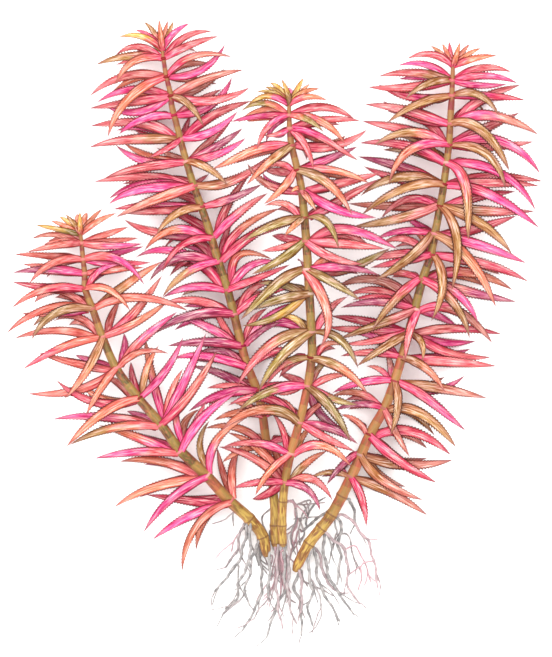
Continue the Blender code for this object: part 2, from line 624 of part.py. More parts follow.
def band(bm, low, high):
    """Joins two loops of corners by one face for each side, facing out where high is nearer the shoot."""
    count = len(low)
    return [bm.faces.new((low[k], high[k], high[(k + 1) % count], low[(k + 1) % count]))
            for k in range(count)]


def grow(bm, face, sections, tip):
    """Extrudes a face through an arm's sections and draws it out to its tip."""
    for last, section in zip(sections, sections[1:]):
        face = bmesh.ops.extrude_discrete_faces(bm, faces=[face])["faces"][0]
        for vert in face.verts:
            offset = vert.co - last.centre
            right = math.copysign(section.width / 2, offset.dot(last.across))
            above = math.copysign(section.thickness / 2, offset.dot(last.through))
            vert.co = section.centre + section.across * right + section.through * above
    bmesh.ops.poke(bm, faces=[face])["verts"][0].co = tip


def finish(bm, name, colour):
    """Turns the mesh from millimetres into an object with its own material."""
    bmesh.ops.triangulate(bm, faces=bm.faces, quad_method="SHORT_EDGE")
    bmesh.ops.scale(bm, vec=(MM, MM, MM), verts=bm.verts)
    mesh = bpy.data.meshes.new(name)
    bm.to_mesh(mesh)
    bm.free()
    mesh.shade_smooth()
    mesh.set_sharp_from_angle(angle=SHARP_EDGE)
    material = bpy.data.materials.new(name)
    material.use_nodes = True
    shader = material.node_tree.nodes["Principled BSDF"]
    shader.inputs["Base Color"].default_value = (colour.red, colour.green, colour.blue, 1)
    shader.inputs["Roughness"].default_value = colour.roughness
    mesh.materials.append(material)
    piece = bpy.data.objects.new(name, mesh)
    bpy.context.scene.collection.objects.link(piece)
    return piece


def leaves_of(joint, ring, slots):
    """The leaves of a joint, with hidden ones added below where fewer are seen than grow there."""
    leaves = [("over", row) for row in joint.over]
    leaves += [("beside", row) for row in joint.beside]
    leaves += [("under", row) for row in joint.under]
    shades = joint.beside + joint.over
    for u, v, middle_u, middle_v in shades[:max(0, slots - len(leaves))]:
        away_u, away_v = joint.place
        leaves.append(("under", (away_u + SHADE_SHARE * (u - away_u), away_v + SHADE_SHARE * (v - away_v),
                                 away_u + SHADE_SHARE * (middle_u - away_u),
                                 away_v + SHADE_SHARE * (middle_v - away_v))))
    turns = [wanted_turn(ring, kind, at(row[:2], ring.centre.z)) for kind, row in leaves]
    slot_of = deal(turns, slots)
    return [(slot_of[i], kind, row) for i, (kind, row) in enumerate(leaves)]


def grow_leaves(bm, faces, node, stem, ring, joint, thickness, placed):
    """Grows the leaves of one joint out of the faces round it."""
    slots = len(faces)
    for order, (slot, kind, row) in enumerate(leaves_of(joint, ring, slots)):
        base = facet(ring, slot, slots, thickness)
        turn = slot * TURN / slots
        found = place_leaf(node, stem, ring, base, turn, kind, row, order, placed)
        if found:
            grow(bm, faces[slot], *found)
        else:
            print("no room in", node, "for the leaf at", row[:2], kind)


def collar_ring(ring):
    """The outside of the collar of leaf bases round a joint."""
    return ring._replace(radius=ring.radius + FIT_GAP + COLLAR_WALL)


def slots_of(joints):
    """How many faces the ring of a joint has, or of close joints that share one."""
    counts = [len(joint.beside) + len(joint.over) + len(joint.under) for joint in joints]
    return max([LEAST_LEAVES] + counts)


def make_whorl(node, stem, ring, joint, placed):
    """One whorl: a collar that clears its stem, and the leaves that grow from it."""
    slots = slots_of([joint])
    outer = collar_ring(ring)
    bm = bmesh.new()
    low = loop_of(bm, shifted(outer, -COLLAR_HEIGHT / 2), slots)
    high = loop_of(bm, shifted(outer, COLLAR_HEIGHT / 2), slots)
    hole = loop_of(bm, ring._replace(radius=ring.radius + FIT_GAP), slots)
    faces = band(bm, low, high)
    band(bm, high, hole)
    band(bm, hole, low)
    grow_leaves(bm, faces, node, stem, outer, joint, COLLAR_HEIGHT, placed)
    return finish(bm, node, LEAF_COLOUR)


def crown_rings(stem):
    """The rings of a shoot tip, from the stem's cut end up through its youngest joints."""
    top = Line(stem.line).ring(0.0)
    height = top.centre.z
    places = [at(joint.place, height) for joint in stem.crown]
    rings = [shifted(top, FIT_GAP)]
    for index, place in enumerate(places):
        before = places[index - 1] if index else top.centre
        after = places[index + 1] if index + 1 < len(places) else place + (place - before)
        taper = 1 - TIP_TAPER * (index + 1) / len(places)
        rings.append(station(place, after - before, top.radius * taper))
    return rings


def make_crown(node, stem, placed):
    """A shoot tip: a soft tapered stem with its youngest leaves in close tiers."""
    rings = crown_rings(stem)
    slots = slots_of(stem.crown)
    bm = bmesh.new()
    loop = loop_of(bm, rings[0], slots)
    bm.faces.new(loop)
    tiers = []
    for ring in rings[1:]:
        low = loop_of(bm, shifted(ring, -TIER_HEIGHT / 2), slots)
        high = loop_of(bm, shifted(ring, TIER_HEIGHT / 2), slots)
        band(bm, loop, low)
        tiers.append(band(bm, low, high))
        loop = high
    cap = bmesh.ops.poke(bm, faces=[bm.faces.new(loop[::-1])])["verts"][0]
    cap.co += rings[-1].along * TIER_HEIGHT
    for ring, joint, faces in zip(rings[1:], stem.crown, tiers):
        grow_leaves(bm, faces, node, stem.name, ring, joint, TIER_HEIGHT, placed)
    return finish(bm, node, YOUNG_COLOUR)


def root_sections(base, points, floor_height):
    """The sections of a root that sinks from its joint to a height near the surface, and its tip."""
    sections = [base]
    heights = [floor_height + (base.centre.z - floor_height) * (1 - (i + 1) / len(points)) ** ROOT_SINK
               for i in range(len(points))]
    route = [base.centre] + [at(point, height) for point, height in zip(points, heights)]
    for before, here, after in zip(route, route[1:], route[2:]):
        forward = (after - before).normalized()
        across = UP.cross(forward).normalized()
        section = Section(here, across, across.cross(forward), ROOT_WIDTH, ROOT_THICKNESS)
        sections.append(settle(section, sections[-1]))
    return sections, route[-1]


def flat_ring(ring):
    """The ring of a stem as its flat faces see it, which lie inside its round outline."""
    return ring._replace(radius=ring.radius * math.cos(math.pi / STEM_SIDES))


def place_root(node, stem, ring, points, used, placed):
    """Finds a face and a resting height for a root, and returns them with its sections."""
    first = at(points[0], ring.centre.z) - ring.centre
    slots = STEM_SIDES
    wanted = 0.0 if first.dot(ring.side) > 0 else slots / 2
    faces = sorted((slot for slot in range(slots) if slot not in used),
                   key=lambda slot: abs((slot - wanted + slots / 2) % slots - slots / 2))
    for slot in faces:
        base = facet(ring, slot, slots, ROOT_BAND)
        for floor_height in ROOT_HEIGHTS:
            sections, tip = root_sections(base, points, floor_height)
            arm = arm_of(node, stem, sections, tip)
            if is_free(arm, placed):
                placed.append(arm)
                return slot, sections, tip
    return None


def stem_rings(stem):
    """The rings of a stem from its shoot down, each with the joint whose band of roots it opens."""
    line = Line(stem.line)
    joints = {line.mark_of(place) for place, _ in stem.roots}
    rings = [(mark, line.ring(mark), None) for mark in line.marks
             if all(abs(mark - joint) > ROOT_BAND for joint in joints)]
    for joint in joints:
        ring = line.ring(joint)
        rings.append((joint, shifted(ring, ROOT_BAND / 2), joint))
        rings.append((joint + ROOT_BAND / 2, shifted(ring, -ROOT_BAND / 2), None))
    return [(flat_ring(ring), joint) for _, ring, joint in sorted(rings, key=lambda entry: entry[0])]


def make_stem(stem, placed):
    """One stem: a tube through its centre line, with its roots drawn out of bands round its joints."""
    line = Line(stem.line)
    node = "stem_" + stem.name
    bm = bmesh.new()
    high, faces_at, opened = None, {}, None
    for ring, joint in stem_rings(stem):
        low = loop_of(bm, ring, STEM_SIDES)
        if high is None:
            bm.faces.new(low[::-1])
        else:
            faces = band(bm, low, high)
            if opened is not None:
                faces_at[opened] = faces
        high, opened = low, joint
    bm.faces.new(high)
    used = {joint: set() for joint in faces_at}
    for place, points in stem.roots:
        joint = line.mark_of(place)
        found = place_root(node, stem.name, flat_ring(line.ring(joint)), points, used[joint], placed)
        if found:
            slot, sections, tip = found
            used[joint].add(slot)
            grow(bm, faces_at[joint][slot], sections, tip)
        else:
            print("no room in", node, "for the root to", points[-1])
    return finish(bm, node, STEM_COLOUR)


def rods_of(stem):
    """A stem, its shoot tip and its collars as overlap tests see them."""
    line = Line(stem.line)
    rods = [rod("stem_" + stem.name, stem.name, [ring for ring, _ in stem_rings(stem)], STEM_SIDES)]
    first, *tiers = crown_rings(stem)
    rings = [first] + [shifted(ring, half) for ring in tiers for half in (-TIER_HEIGHT / 2, TIER_HEIGHT / 2)]
    rods.append(rod("crown_" + stem.name, stem.name, rings, slots_of(stem.crown)))
    for number, joint in enumerate(stem.joints, 1):
        ring = collar_ring(line.ring(line.mark_of(joint.place)))
        rings = [shifted(ring, half) for half in (-COLLAR_HEIGHT / 2, COLLAR_HEIGHT / 2)]
        rods.append(rod(f"whorl_{stem.name}_{number:02d}", stem.name, rings, slots_of([joint])))
    return rods


def main():
    for piece in list(bpy.data.objects):
        bpy.data.objects.remove(piece, do_unlink=True)
    placed = [entry for stem in STEMS for entry in rods_of(stem)]
    pieces = [make_stem(stem, placed) for stem in STEMS]
    for stem in STEMS:
        line = Line(stem.line)
        for number, joint in enumerate(stem.joints, 1):
            ring = line.ring(line.mark_of(joint.place))
            node = f"whorl_{stem.name}_{number:02d}"
            pieces.append(make_whorl(node, stem.name, ring, joint, placed))
        pieces.append(make_crown("crown_" + stem.name, stem, placed))
    lowest = min(vert.co.z for piece in pieces for vert in piece.data.vertices)
    for piece in pieces:
        piece.data.transform(Matrix.Translation((0, 0, -lowest)))


main()
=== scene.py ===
# %% [markdown]
# # A limnophila plant
# Limnophila is a water plant with soft stems and whorls of narrow toothed leaves. This one has four
# stems on one crown of roots, and it lies on a pale table like a specimen laid out to be drawn.
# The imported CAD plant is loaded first. It says where every stem, whorl and root is, so nothing here
# is placed by eye: each piece is grown over the CAD part that it stands for.

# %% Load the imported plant
import json
import math

import bpy
import numpy as np
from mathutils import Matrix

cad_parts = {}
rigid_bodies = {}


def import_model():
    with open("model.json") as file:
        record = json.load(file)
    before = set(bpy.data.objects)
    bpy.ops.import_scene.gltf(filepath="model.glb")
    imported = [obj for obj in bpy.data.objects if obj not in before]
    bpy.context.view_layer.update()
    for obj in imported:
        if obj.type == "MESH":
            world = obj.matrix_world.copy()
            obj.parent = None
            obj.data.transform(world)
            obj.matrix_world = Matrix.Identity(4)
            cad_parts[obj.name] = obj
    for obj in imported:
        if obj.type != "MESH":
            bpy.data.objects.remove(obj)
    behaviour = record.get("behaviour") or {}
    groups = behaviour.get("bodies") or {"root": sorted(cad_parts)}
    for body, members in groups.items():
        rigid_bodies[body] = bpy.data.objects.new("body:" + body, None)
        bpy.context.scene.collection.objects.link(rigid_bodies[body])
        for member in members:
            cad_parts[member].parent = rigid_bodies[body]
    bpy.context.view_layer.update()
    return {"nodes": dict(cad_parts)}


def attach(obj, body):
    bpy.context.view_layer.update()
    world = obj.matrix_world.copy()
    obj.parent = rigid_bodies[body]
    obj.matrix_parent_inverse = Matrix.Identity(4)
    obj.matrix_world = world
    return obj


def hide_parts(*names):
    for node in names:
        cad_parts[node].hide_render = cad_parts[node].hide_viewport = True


for leftover in list(bpy.data.objects):
    bpy.data.objects.remove(leftover)
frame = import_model()
MM = 0.001

# %% [markdown]
# ## Reading the leaves of the CAD plant
# In the CAD plant a leaf is an arm with a few four-cornered rings that ends in a point. A smooth,
# toothed leaf could be drawn by hand for each arm, but there are about five hundred. So each arm
# is read back from its mesh: a sharp point with only four neighbours is a tip, and its neighbours,
# then theirs, are the rings. The last ring found is the foot on the joint.

# %% Read a node's mesh with its corners joined
WELD_DIGITS = 6
TIP_TURN = math.radians(170)


def joined_mesh(node):
    """The points and triangles of a CAD node, with the points that faces share joined."""
    mesh = frame["nodes"][node].data
    loose = np.array([vertex.co[:] for vertex in mesh.vertices])
    _, first, index = np.unique(np.round(loose, WELD_DIGITS), axis=0,
                                return_index=True, return_inverse=True)
    index = index.reshape(-1)
    return loose[first], [[index[corner] for corner in face.vertices] for face in mesh.polygons]


def angle_between(a, b):
    """The angle between two vectors."""
    return math.acos(np.clip(a @ b / (np.linalg.norm(a) * np.linalg.norm(b)), -1, 1))


# %% Walk from each tip to its foot
RING_POINTS = 4
LEAF_RINGS = 3


def arms_of(node, most_rings):
    """Each arm of a node, as a list of rings of four points from its foot out, and its tip."""
    points, faces = joined_mesh(node)
    near = [set() for _ in points]
    turn = np.zeros(len(points))
    for face in faces:
        for k, corner in enumerate(face):
            a, b = face[k - 2], face[k - 1]
            near[corner].update((a, b))
            turn[corner] += angle_between(points[a] - points[corner], points[b] - points[corner])
    arms = []
    for tip in range(len(points)):
        if len(near[tip]) == RING_POINTS and turn[tip] < TIP_TURN:
            rings, seen, ring = [], {tip}, near[tip]
            while len(ring) == RING_POINTS and len(rings) < most_rings:
                rings.append(points[sorted(ring)])
                seen |= ring
                ring = set().union(*(near[corner] for corner in ring)) - seen
            arms.append((rings[::-1], points[tip]))
    return arms


arms = {node: arms_of(node, LEAF_RINGS) for node in frame["nodes"] if not node.startswith("stem")}
print("leaves read:", sum(len(found) for found in arms.values()))

# %% [markdown]
# ## The line and the lie of a leaf
# A leaf needs a smooth middle line and a direction across the blade at each place. Straight pieces
# from ring to ring would show corners. A polynomial through the rings' centres is as smooth as can
# be, and it meets every ring. Each centre is marked with its share of the leaf's length, so the
# blade narrows evenly to its tip wherever the rings are. The long side of each ring gives the
# direction across.

# %% Fit a smooth line through the rings
LONG_SIDE = 8


def through(marks, values, places):
    """The polynomial through values at marks, at each of the places."""
    total = 0.0
    for i, mark in enumerate(marks):
        weight = np.ones_like(places)
        for j, other in enumerate(marks):
            if j != i:
                weight = weight * (places - other) / (mark - other)
        total = total + weight[:, None] * values[i]
    return total


def unit(vectors):
    """The vectors with length one."""
    return vectors / np.linalg.norm(vectors, axis=-1, keepdims=True)


def long_side(ring):
    """The direction and the length of a ring's long side."""
    edges = ring[:, None] - ring[None]
    lengths = np.sort(np.linalg.norm(edges, axis=2).ravel())
    # Of the sixteen distances, four zeros and each of the two short sides twice come first.
    _, _, axes = np.linalg.svd(ring - ring.mean(0))
    return axes[0], lengths[LONG_SIDE]


# %% Read one leaf
FIRST_RING_SHARE = 0.95


def leaf_of(arm):
    """A leaf's marks, centre points, ways across and full width, from its arm."""
    rings, tip = arm
    centres = np.array([ring.mean(0) for ring in rings] + [tip])
    steps = np.linalg.norm(np.diff(centres, axis=0), axis=1)
    marks = np.concatenate([[0], np.cumsum(steps)]) / steps.sum()
    sides = [long_side(ring) for ring in rings[1:]]
    across = []
    for direction, _ in sides:
        if across and direction @ across[-1] < 0:
            direction = -direction
        across.append(direction)
    # A leaf with all its rings is a long one. Its first ring past the foot isn't quite its full width.
    width = sides[0][1] / (FIRST_RING_SHARE if len(rings) == LEAF_RINGS else 1.0)
    return marks, centres, np.array(across), width


leaves = {node: [leaf_of(arm) for arm in found] for node, found in arms.items()}
widths = [width / MM for found in leaves.values() for _, _, _, width in found]
print("leaf widths in mm:", round(min(widths), 2), "to", round(max(widths), 2))

# %% [markdown]
# ## The tints
# No two leaves of this plant have the same colour. Shaded ones are magenta and crimson, those in
# the light are coral and orange, and old ones turn olive and tan. Random colours would lose the
# drawing's rhythm, so each whorl lists its leaves' tints clockwise, as seen from above, starting
# on the shoot's side. The first letter is the tint low on the leaf, the second the tint of its tip.

# %% Name the tints and list them
TINTS = {
    "R": (226, 92, 104), "A": (230, 126, 86), "M": (240, 52, 150), "C": (218, 38, 88),
    "O": (170, 122, 44), "G": (140, 130, 28), "Y": (222, 186, 62), "T": (206, 120, 102),
    "P": (172, 42, 106),
}
LEAF_TINTS = {
    "crown_left_short": "AA AR AA RR RR RM MM CM MC CM RR CM RM RR RR RR "
                        "AR MP AR RR RR RR RR TT RR RR GY AR AY AO AA AY",
    "crown_left_tall": "AA AO MM RR TT RR MM CT TT TT TT RR TT OO AA AA "
                       "MM RR RM AA TR AA RO RR RR RR AY MM YY AO AA",
    "crown_middle": "OY YA YA RA RR RR RR AO RA MR RA RR RR MR "
                    "MM MM MM AA CM AA AO MY MY YO AO YY OY MM",
    "crown_right": "AA RR AA AA RR RM MM MC MM OO OO RR OO OO OO RR MC OR MM MM RR RT RR CC",
    "whorl_left_short_01": "CM CM AA CR RR CC RR",
    "whorl_left_short_02": "OA AR OO OO AR MR RR RR",
    "whorl_left_short_03": "RR CR RA OA AC AR RR RR",
    "whorl_left_short_04": "MM RM AR AA RR RR MM MM",
    "whorl_left_short_05": "OA OA MM AA OA CC RR CC",
    "whorl_left_short_06": "RR MM CR RO AA RM MM MA",
    "whorl_left_short_07": "MR AA CC MM RA RM MM MA",
    "whorl_left_short_08": "OO MA MM CC AA MM RA MM",
    "whorl_left_short_09": "AR AA AA MM MM CC CC AR",
    "whorl_left_tall_01": "TT MM RR MM CC",
    "whorl_left_tall_02": "CC CR MM CC OR RR MM CC",
    "whorl_left_tall_03": "TR PP CM OO RR RM AA TT",
    "whorl_left_tall_04": "CC OR AT MM RR MM RR RR",
    "whorl_left_tall_05": "RR RP OO CC RR RR MC RR",
    "whorl_left_tall_06": "RR MR CC MA RR PR CC",
    "whorl_left_tall_07": "CC CA CC MO PP CC RR MM",
    "whorl_left_tall_08": "CA MM CC MM MO MM CC CM",
    "whorl_left_tall_09": "RR RR CC RR MM PP RR MM",
    "whorl_left_tall_10": "RR MM PP PP PP MM MM RR",
    "whorl_left_tall_11": "CC CC PP MM PP PP",
    "whorl_left_tall_12": "CC CC AA MM RR RR PP RR",
    "whorl_left_tall_13": "CC CC AA AA RR RR",
    "whorl_left_tall_14": "CC CC AA AA AA RR RR",
    "whorl_middle_01": "RR RA CM OA RA RT",
    "whorl_middle_02": "RA MP RA RA OA AA CM RR",
    "whorl_middle_03": "RA RR MM OA TT CC CM RT",
    "whorl_middle_04": "CR RA OO OA CC OO RR RR",
    "whorl_middle_05": "RM RR RR RR RR GO AR CC",
    "whorl_middle_06": "TO AA MP RR OO AT OO RR",
    "whorl_middle_07": "OO YO OY OO OO OO",
    "whorl_middle_08": "RR RR OO OO OR MM OY OY",
    "whorl_middle_09": "RR RR OA OR RR",
    "whorl_middle_10": "TO RR MO PP OO MO MM RR",
    "whorl_middle_11": "RR RR PP RR OA CC RC MM",
    "whorl_middle_12": "OA OA RA AA MR CR CR",
    "whorl_middle_13": "OA AR PP CC CC AR AA RR CA",
    "whorl_right_01": "RR MM MT OO RR CC CC OO",
    "whorl_right_02": "RR RR MM OO MA AO MR RR",
    "whorl_right_03": "RR MM RO CC AO OO OO",
    "whorl_right_04": "RR RR CM OO OO CC RP CC",
    "whorl_right_05": "CC OR OO OO TO CR TT CC",
    "whorl_right_06": "RC RC MM OA OO RR MM MM",
    "whorl_right_07": "RC RA OO CC RR RR RR CC",
    "whorl_right_08": "RA OA TP TM AO RO RR RR",
    "whorl_right_09": "MM RT RR MR TO RP CC RR TT",
    "whorl_right_10": "TC MM RR OO OO RR RR CC",
    "whorl_right_11": "PM RR MM OA OO RR RO MM",
    "whorl_right_12": "MM OA OT RM OO MM MM PP",
    "whorl_right_13": "OO OO TT OO PP TR TR AA",
    "whorl_right_14": "TT RC CC TT TR TR",
    "whorl_right_15": "OT TT OT OT PP PP",
    "whorl_right_16": "OT OT CC CC OO PP",
}
tinted = sum(len(row.split()) for row in LEAF_TINTS.values())
print("tints:", len(TINTS), "leaves with a tint:", tinted)

# %% Turn a screen colour into a shader's
EXPOSURE = 0.55
SCREEN_MOST = 255
STRAIGHT_BELOW = 0.04045
STRAIGHT_SLOPE = 12.92
CURVE_OFFSET = 0.055
CURVE_POWER = 2.4


def linear(red, green, blue):
    """A colour as it is seen on a screen, turned into the linear numbers that a shader needs."""
    seen = np.array([red, green, blue]) / SCREEN_MOST
    curve = ((seen + CURVE_OFFSET) / (1 + CURVE_OFFSET)) ** CURVE_POWER
    return np.where(seen < STRAIGHT_BELOW, seen / STRAIGHT_SLOPE, curve)


def tone(red, green, blue):
    """A colour of the plant, darkened for the bright light that keeps the table white."""
    return EXPOSURE * linear(red, green, blue)


# %% Put a node's leaves in the order of its tints
def clockwise(found):
    """Leaves in the order of their bearing round their joint, from +Y over +X, and the joint's middle."""
    hub = np.mean([centres[0] for _, centres, _, _ in found], axis=0)
    reach = [centres[-1] - hub for _, centres, _, _ in found]
    bearing = [math.atan2(x, y) % math.tau for x, y, _ in reach]
    return [found[k] for k in np.argsort(bearing)], hub


whorls = sorted(node for node in leaves if node.startswith("whorl"))


def stem_of(whorl):
    """The stem that a whorl grows on, from its name, as in whorl_left_tall_03."""
    return whorl.removeprefix("whorl_").rsplit("_", 1)[0]


print("whorls:", len(whorls), "on the stems", sorted({stem_of(whorl) for whorl in whorls}))

# %% [markdown]
# ## The blade
# A limnophila leaf is narrow at its foot, widest before its middle and drawn out to a long point.
# It is folded a little along its midrib, and small teeth point forward along both edges. A flat
# plane with a picture of teeth would look like paper from the side, so the blade is a thin closed
# body: eight points round each section, and two sections for each tooth, one in its notch and
# one at its point.

# %% Outline of a blade
BREADTH = {"left_short": 1.2, "left_tall": 1.3, "middle": 1.35, "right": 1.32}
YOUNG_BREADTH = 1.2
FOOT_SHARE = 0.68
FULL_FROM = 0.3
FULL_TO = 0.42
TIP_ROUNDING = 2.1


def outline(along):
    """Half width of a blade along its length, as a share of the most."""
    rise = np.clip(along / FULL_FROM, 0, 1)
    fall = np.clip((along - FULL_TO) / (1 - FULL_TO), 0, 1)
    return (FOOT_SHARE + (1 - FOOT_SHARE) * rise * rise * (3 - 2 * rise)) * (1 - fall ** TIP_ROUNDING)


# %% Teeth along a blade
TOOTH_SPACING = 1.25 * MM
TOOTH_DEPTH = 0.3
TOOTH_POINT = 0.82
FEWEST_TEETH = 8
MOST_TEETH = 30
TOOTHED_FROM = 0.2
TOOTHED_OVER = 0.35
LEAST_TOOTHED = 0.2


def tooth_places(length):
    """Places along a blade of its notches and points, and 1 at each notch."""
    teeth = int(np.clip(round(length / TOOTH_SPACING), FEWEST_TEETH, MOST_TEETH))
    notches = np.arange(teeth) / teeth
    places = np.stack([notches, notches + TOOTH_POINT / teeth], axis=1).ravel()
    return places, np.tile([1.0, 0.0], teeth)


def toothed(along, notch):
    """The share of the half width that the teeth leave at each place, with low teeth near the foot."""
    high = np.clip((along - TOOTHED_FROM) / TOOTHED_OVER, LEAST_TOOTHED, 1)
    return 1 + TOOTH_DEPTH / 3 - TOOTH_DEPTH * notch * high


# %% Ways across and up along a blade
TWIST = math.radians(12)
TWIST_SPREAD = 2.1


def sides_of(marks, across, along, ahead, number):
    """The ways across and up at places along a blade, square to its line and a little twisted."""
    side = np.stack([np.interp(along, marks[1:-1], across[:, axis]) for axis in range(3)], axis=1)
    side = unit(side - (side * ahead).sum(1, keepdims=True) * ahead)
    face = np.cross(ahead, side)
    if face[:, 2].mean() < 0:
        side, face = -side, -face
    twist = (TWIST * math.sin(TWIST_SPREAD * number) * np.sin(math.pi * along))[:, None]
    return side * np.cos(twist) + face * np.sin(twist), face * np.cos(twist) - side * np.sin(twist)


# %% Sections across a blade
FOLD = 0.17
THICKNESS = 0.34 * MM
THIN_SHARE = 0.35
ACROSS = np.array([-1.0, -0.5, 0.0, 0.5, 1.0, 0.5, 0.0, -0.5])
LIFT = np.array([0.0, 0.42, 0.3, 0.42, 0.0, -0.42, -0.7, -0.42])
LOWEST_LEAF = 0.1 * MM


def sections(line, side, face, half, along):
    """The points of the sections across a blade, each lifted as a whole where it would sink."""
    spread = half[:, None] * ACROSS
    thick = (THIN_SHARE + (1 - THIN_SHARE) * outline(along))[:, None]
    rise = FOLD * np.abs(spread) + THICKNESS * LIFT * thick
    points = line[:, None] + side[:, None] * spread[..., None] + face[:, None] * rise[..., None]
    points[..., 2] += np.maximum(0, LOWEST_LEAF - points[..., 2].min(axis=1))[:, None]
    return points.reshape(-1, 3)


# %% Build one blade
SINK = 0.55 * MM
SMALL_STEP = 0.01


def band(this, after, count):
    """The faces between two rings of points, by the numbers at which the rings start."""
    return [(this + k, this + (k + 1) % count, after + (k + 1) % count, after + k) for k in range(count)]


def blade(leaf, core, number, breadth):
    """The points, faces and places on the blade of one leaf, whose foot sinks towards its stem's core."""
    marks, centres, across, width = leaf
    centres = np.vstack([centres[:1] + unit(core - centres[0]) * SINK, centres[1:]])
    along, notch = tooth_places(np.linalg.norm(np.diff(centres, axis=0), axis=1).sum())
    after, before = [through(marks, centres, along + step) for step in (SMALL_STEP, -SMALL_STEP)]
    side, face = sides_of(marks, across, along, unit(after - before), number)
    half = breadth * width / 2 * outline(along) * toothed(along, notch)
    points = sections(through(marks, centres, along), side, face, half, along)
    count = len(ACROSS)
    last = (len(along) - 1) * count
    faces = [tuple(range(count))[::-1]]
    for row in range(0, last, count):
        faces += band(row, row + count, count)
    faces += [(last + k, last + (k + 1) % count, last + count) for k in range(count)]
    places = np.stack(np.broadcast_arrays(along[:, None], ACROSS, number), axis=2).reshape(-1, 3)
    return np.vstack([points, centres[-1:]]), faces, np.vstack([places, [[1, 0, number]]])


# %% [markdown]
# ## Putting pieces together
# Each whorl is one piece, so its leaves, and the collar that joins their feet, share one mesh. They
# could be made one by one and joined afterwards, but then the fields that the materials read would
# have to be joined too. One small class adds part after part and moves their numbers along.

# %% A mesh that grows part by part
SHARP_FROM = math.radians(50)


class Growing:
    """A mesh made of parts, with fields for the materials."""

    def __init__(self):
        self.points, self.faces, self.fields = [], [], {}
        self.count = 0

    def add(self, points, faces, **fields):
        """Adds a part, whose faces count its own points."""
        self.points.append(points)
        self.faces += [tuple(k + self.count for k in face) for face in faces]
        for name, values in fields.items():
            self.fields.setdefault(name, []).append(np.broadcast_to(values, (len(points), 3)))
        self.count += len(points)

    def piece(self, name, material, slot_name, *stands_for):
        """Turns it into an object that rides on the plant and stands for CAD nodes."""
        mesh = bpy.data.meshes.new(name)
        mesh.from_pydata(np.vstack(self.points), [], self.faces)
        for field, values in self.fields.items():
            attribute = mesh.attributes.new(field, "FLOAT_VECTOR", "POINT")
            attribute.data.foreach_set("vector", np.vstack(values).astype(np.float32).ravel())
        mesh.materials.append(material)
        mesh.shade_smooth()
        mesh.set_sharp_from_angle(angle=SHARP_FROM)
        made = bpy.data.objects.new(name, mesh)
        bpy.context.scene.collection.objects.link(made)
        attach(made, "root")
        if stands_for:
            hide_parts(*stands_for)


# %% [markdown]
# ## Writing a material
# A leaf's colour changes from foot to tip and from midrib to edge, which no single colour can
# show. The places on the blade are kept in the mesh, so the shader can mix colours by them. A few
# short helpers keep the node trees readable: a number is set on its socket, and a socket is linked.
# Most colours are mixed by soft steps. Each is kept as a tuple: the values at which it starts and
# ends, then the shares there, which are 0 and 1 where none are given.

# %% Helpers for node trees
# A mix node has sockets for numbers, vectors and colours. These are the orders of those for colours.
MIX_SHARE = 0
MIX_FROM = 6
MIX_TO = 7
MIX_RESULT = 2


class Finish:
    """A procedural material in the making."""

    def __init__(self, name, roughness, shine):
        self.material = bpy.data.materials.new(name)
        self.material.use_nodes = True
        self.tree = self.material.node_tree
        self.shader = self.tree.nodes["Principled BSDF"]
        self.put(self.shader, "Roughness", roughness)
        self.put(self.shader, "Specular IOR Level", shine)

    def put(self, node, socket, value):
        """Sets a socket to a number or a colour, or links it."""
        target = node.inputs[socket]
        if isinstance(value, bpy.types.NodeSocket):
            self.tree.links.new(value, target)
        elif target.type == "RGBA":
            target.default_value = (*value, 1)
        else:
            target.default_value = value

    def make(self, kind, output, settings=(), **sockets):
        """Adds a node and returns one of its outputs. Sockets are named by their order, as in i0."""
        node = self.tree.nodes.new(kind)
        for setting, value in dict(settings).items():
            setattr(node, setting, value)
        for order, value in sockets.items():
            self.put(node, int(order[1:]), value)
        return node.outputs[output]

    def field(self, name):
        """A field of the mesh, as a vector."""
        return self.make("ShaderNodeAttribute", "Vector", {"attribute_name": name})

    def parts(self, vector):
        """The three numbers of a vector."""
        node = self.tree.nodes.new("ShaderNodeSeparateXYZ")
        self.put(node, 0, vector)
        return node.outputs[:]

    def maths(self, operation, a, b=0.0):
        """Arithmetic on one number or two."""
        return self.make("ShaderNodeMath", 0, {"operation": operation}, i0=a, i1=b)

    def times(self, a, b):
        """The product of two numbers."""
        return self.maths("MULTIPLY", a, b)

    def ramp(self, value, start, end, low=0.0, high=1.0):
        """A soft step from low to high while a value goes from start to end."""
        settings = {"interpolation_type": "SMOOTHSTEP"}
        return self.make("ShaderNodeMapRange", 0, settings, i0=value, i1=start, i2=end, i3=low, i4=high)

    def vector(self, x, y, z):
        """A vector from three numbers."""
        return self.make("ShaderNodeCombineXYZ", 0, i0=x, i1=y, i2=z)

    def noise(self, vector, scale, detail=2.0):
        """Soft noise from 0 to 1."""
        node = self.tree.nodes.new("ShaderNodeTexNoise")
        self.put(node, "Vector", vector)
        self.put(node, "Scale", scale)
        self.put(node, "Detail", detail)
        return node.outputs["Fac"]

    def mix(self, share, a, b, blend="MIX"):
        """One colour turned into another by a share."""
        node = self.tree.nodes.new("ShaderNodeMix")
        node.data_type = "RGBA"
        node.blend_type = blend
        self.put(node, MIX_SHARE, share)
        self.put(node, MIX_FROM, a)
        self.put(node, MIX_TO, b)
        return node.outputs[MIX_RESULT]

    def wash(self, colour, value, step, tint, blend="MIX"):
        """A colour turned into a tint by a soft step in a value."""
        return self.mix(self.ramp(value, *step), colour, tint, blend)

    def done(self, colour, height, strength, distance):
        """Gives the surface its colour and small bumps by a height, and returns the material."""
        node = self.tree.nodes.new("ShaderNodeBump")
        self.put(node, "Strength", strength)
        self.put(node, "Distance", distance)
        self.put(node, "Height", height)
        self.put(self.shader, "Normal", node.outputs[0])
        self.put(self.shader, "Base Color", colour)
        return self.material


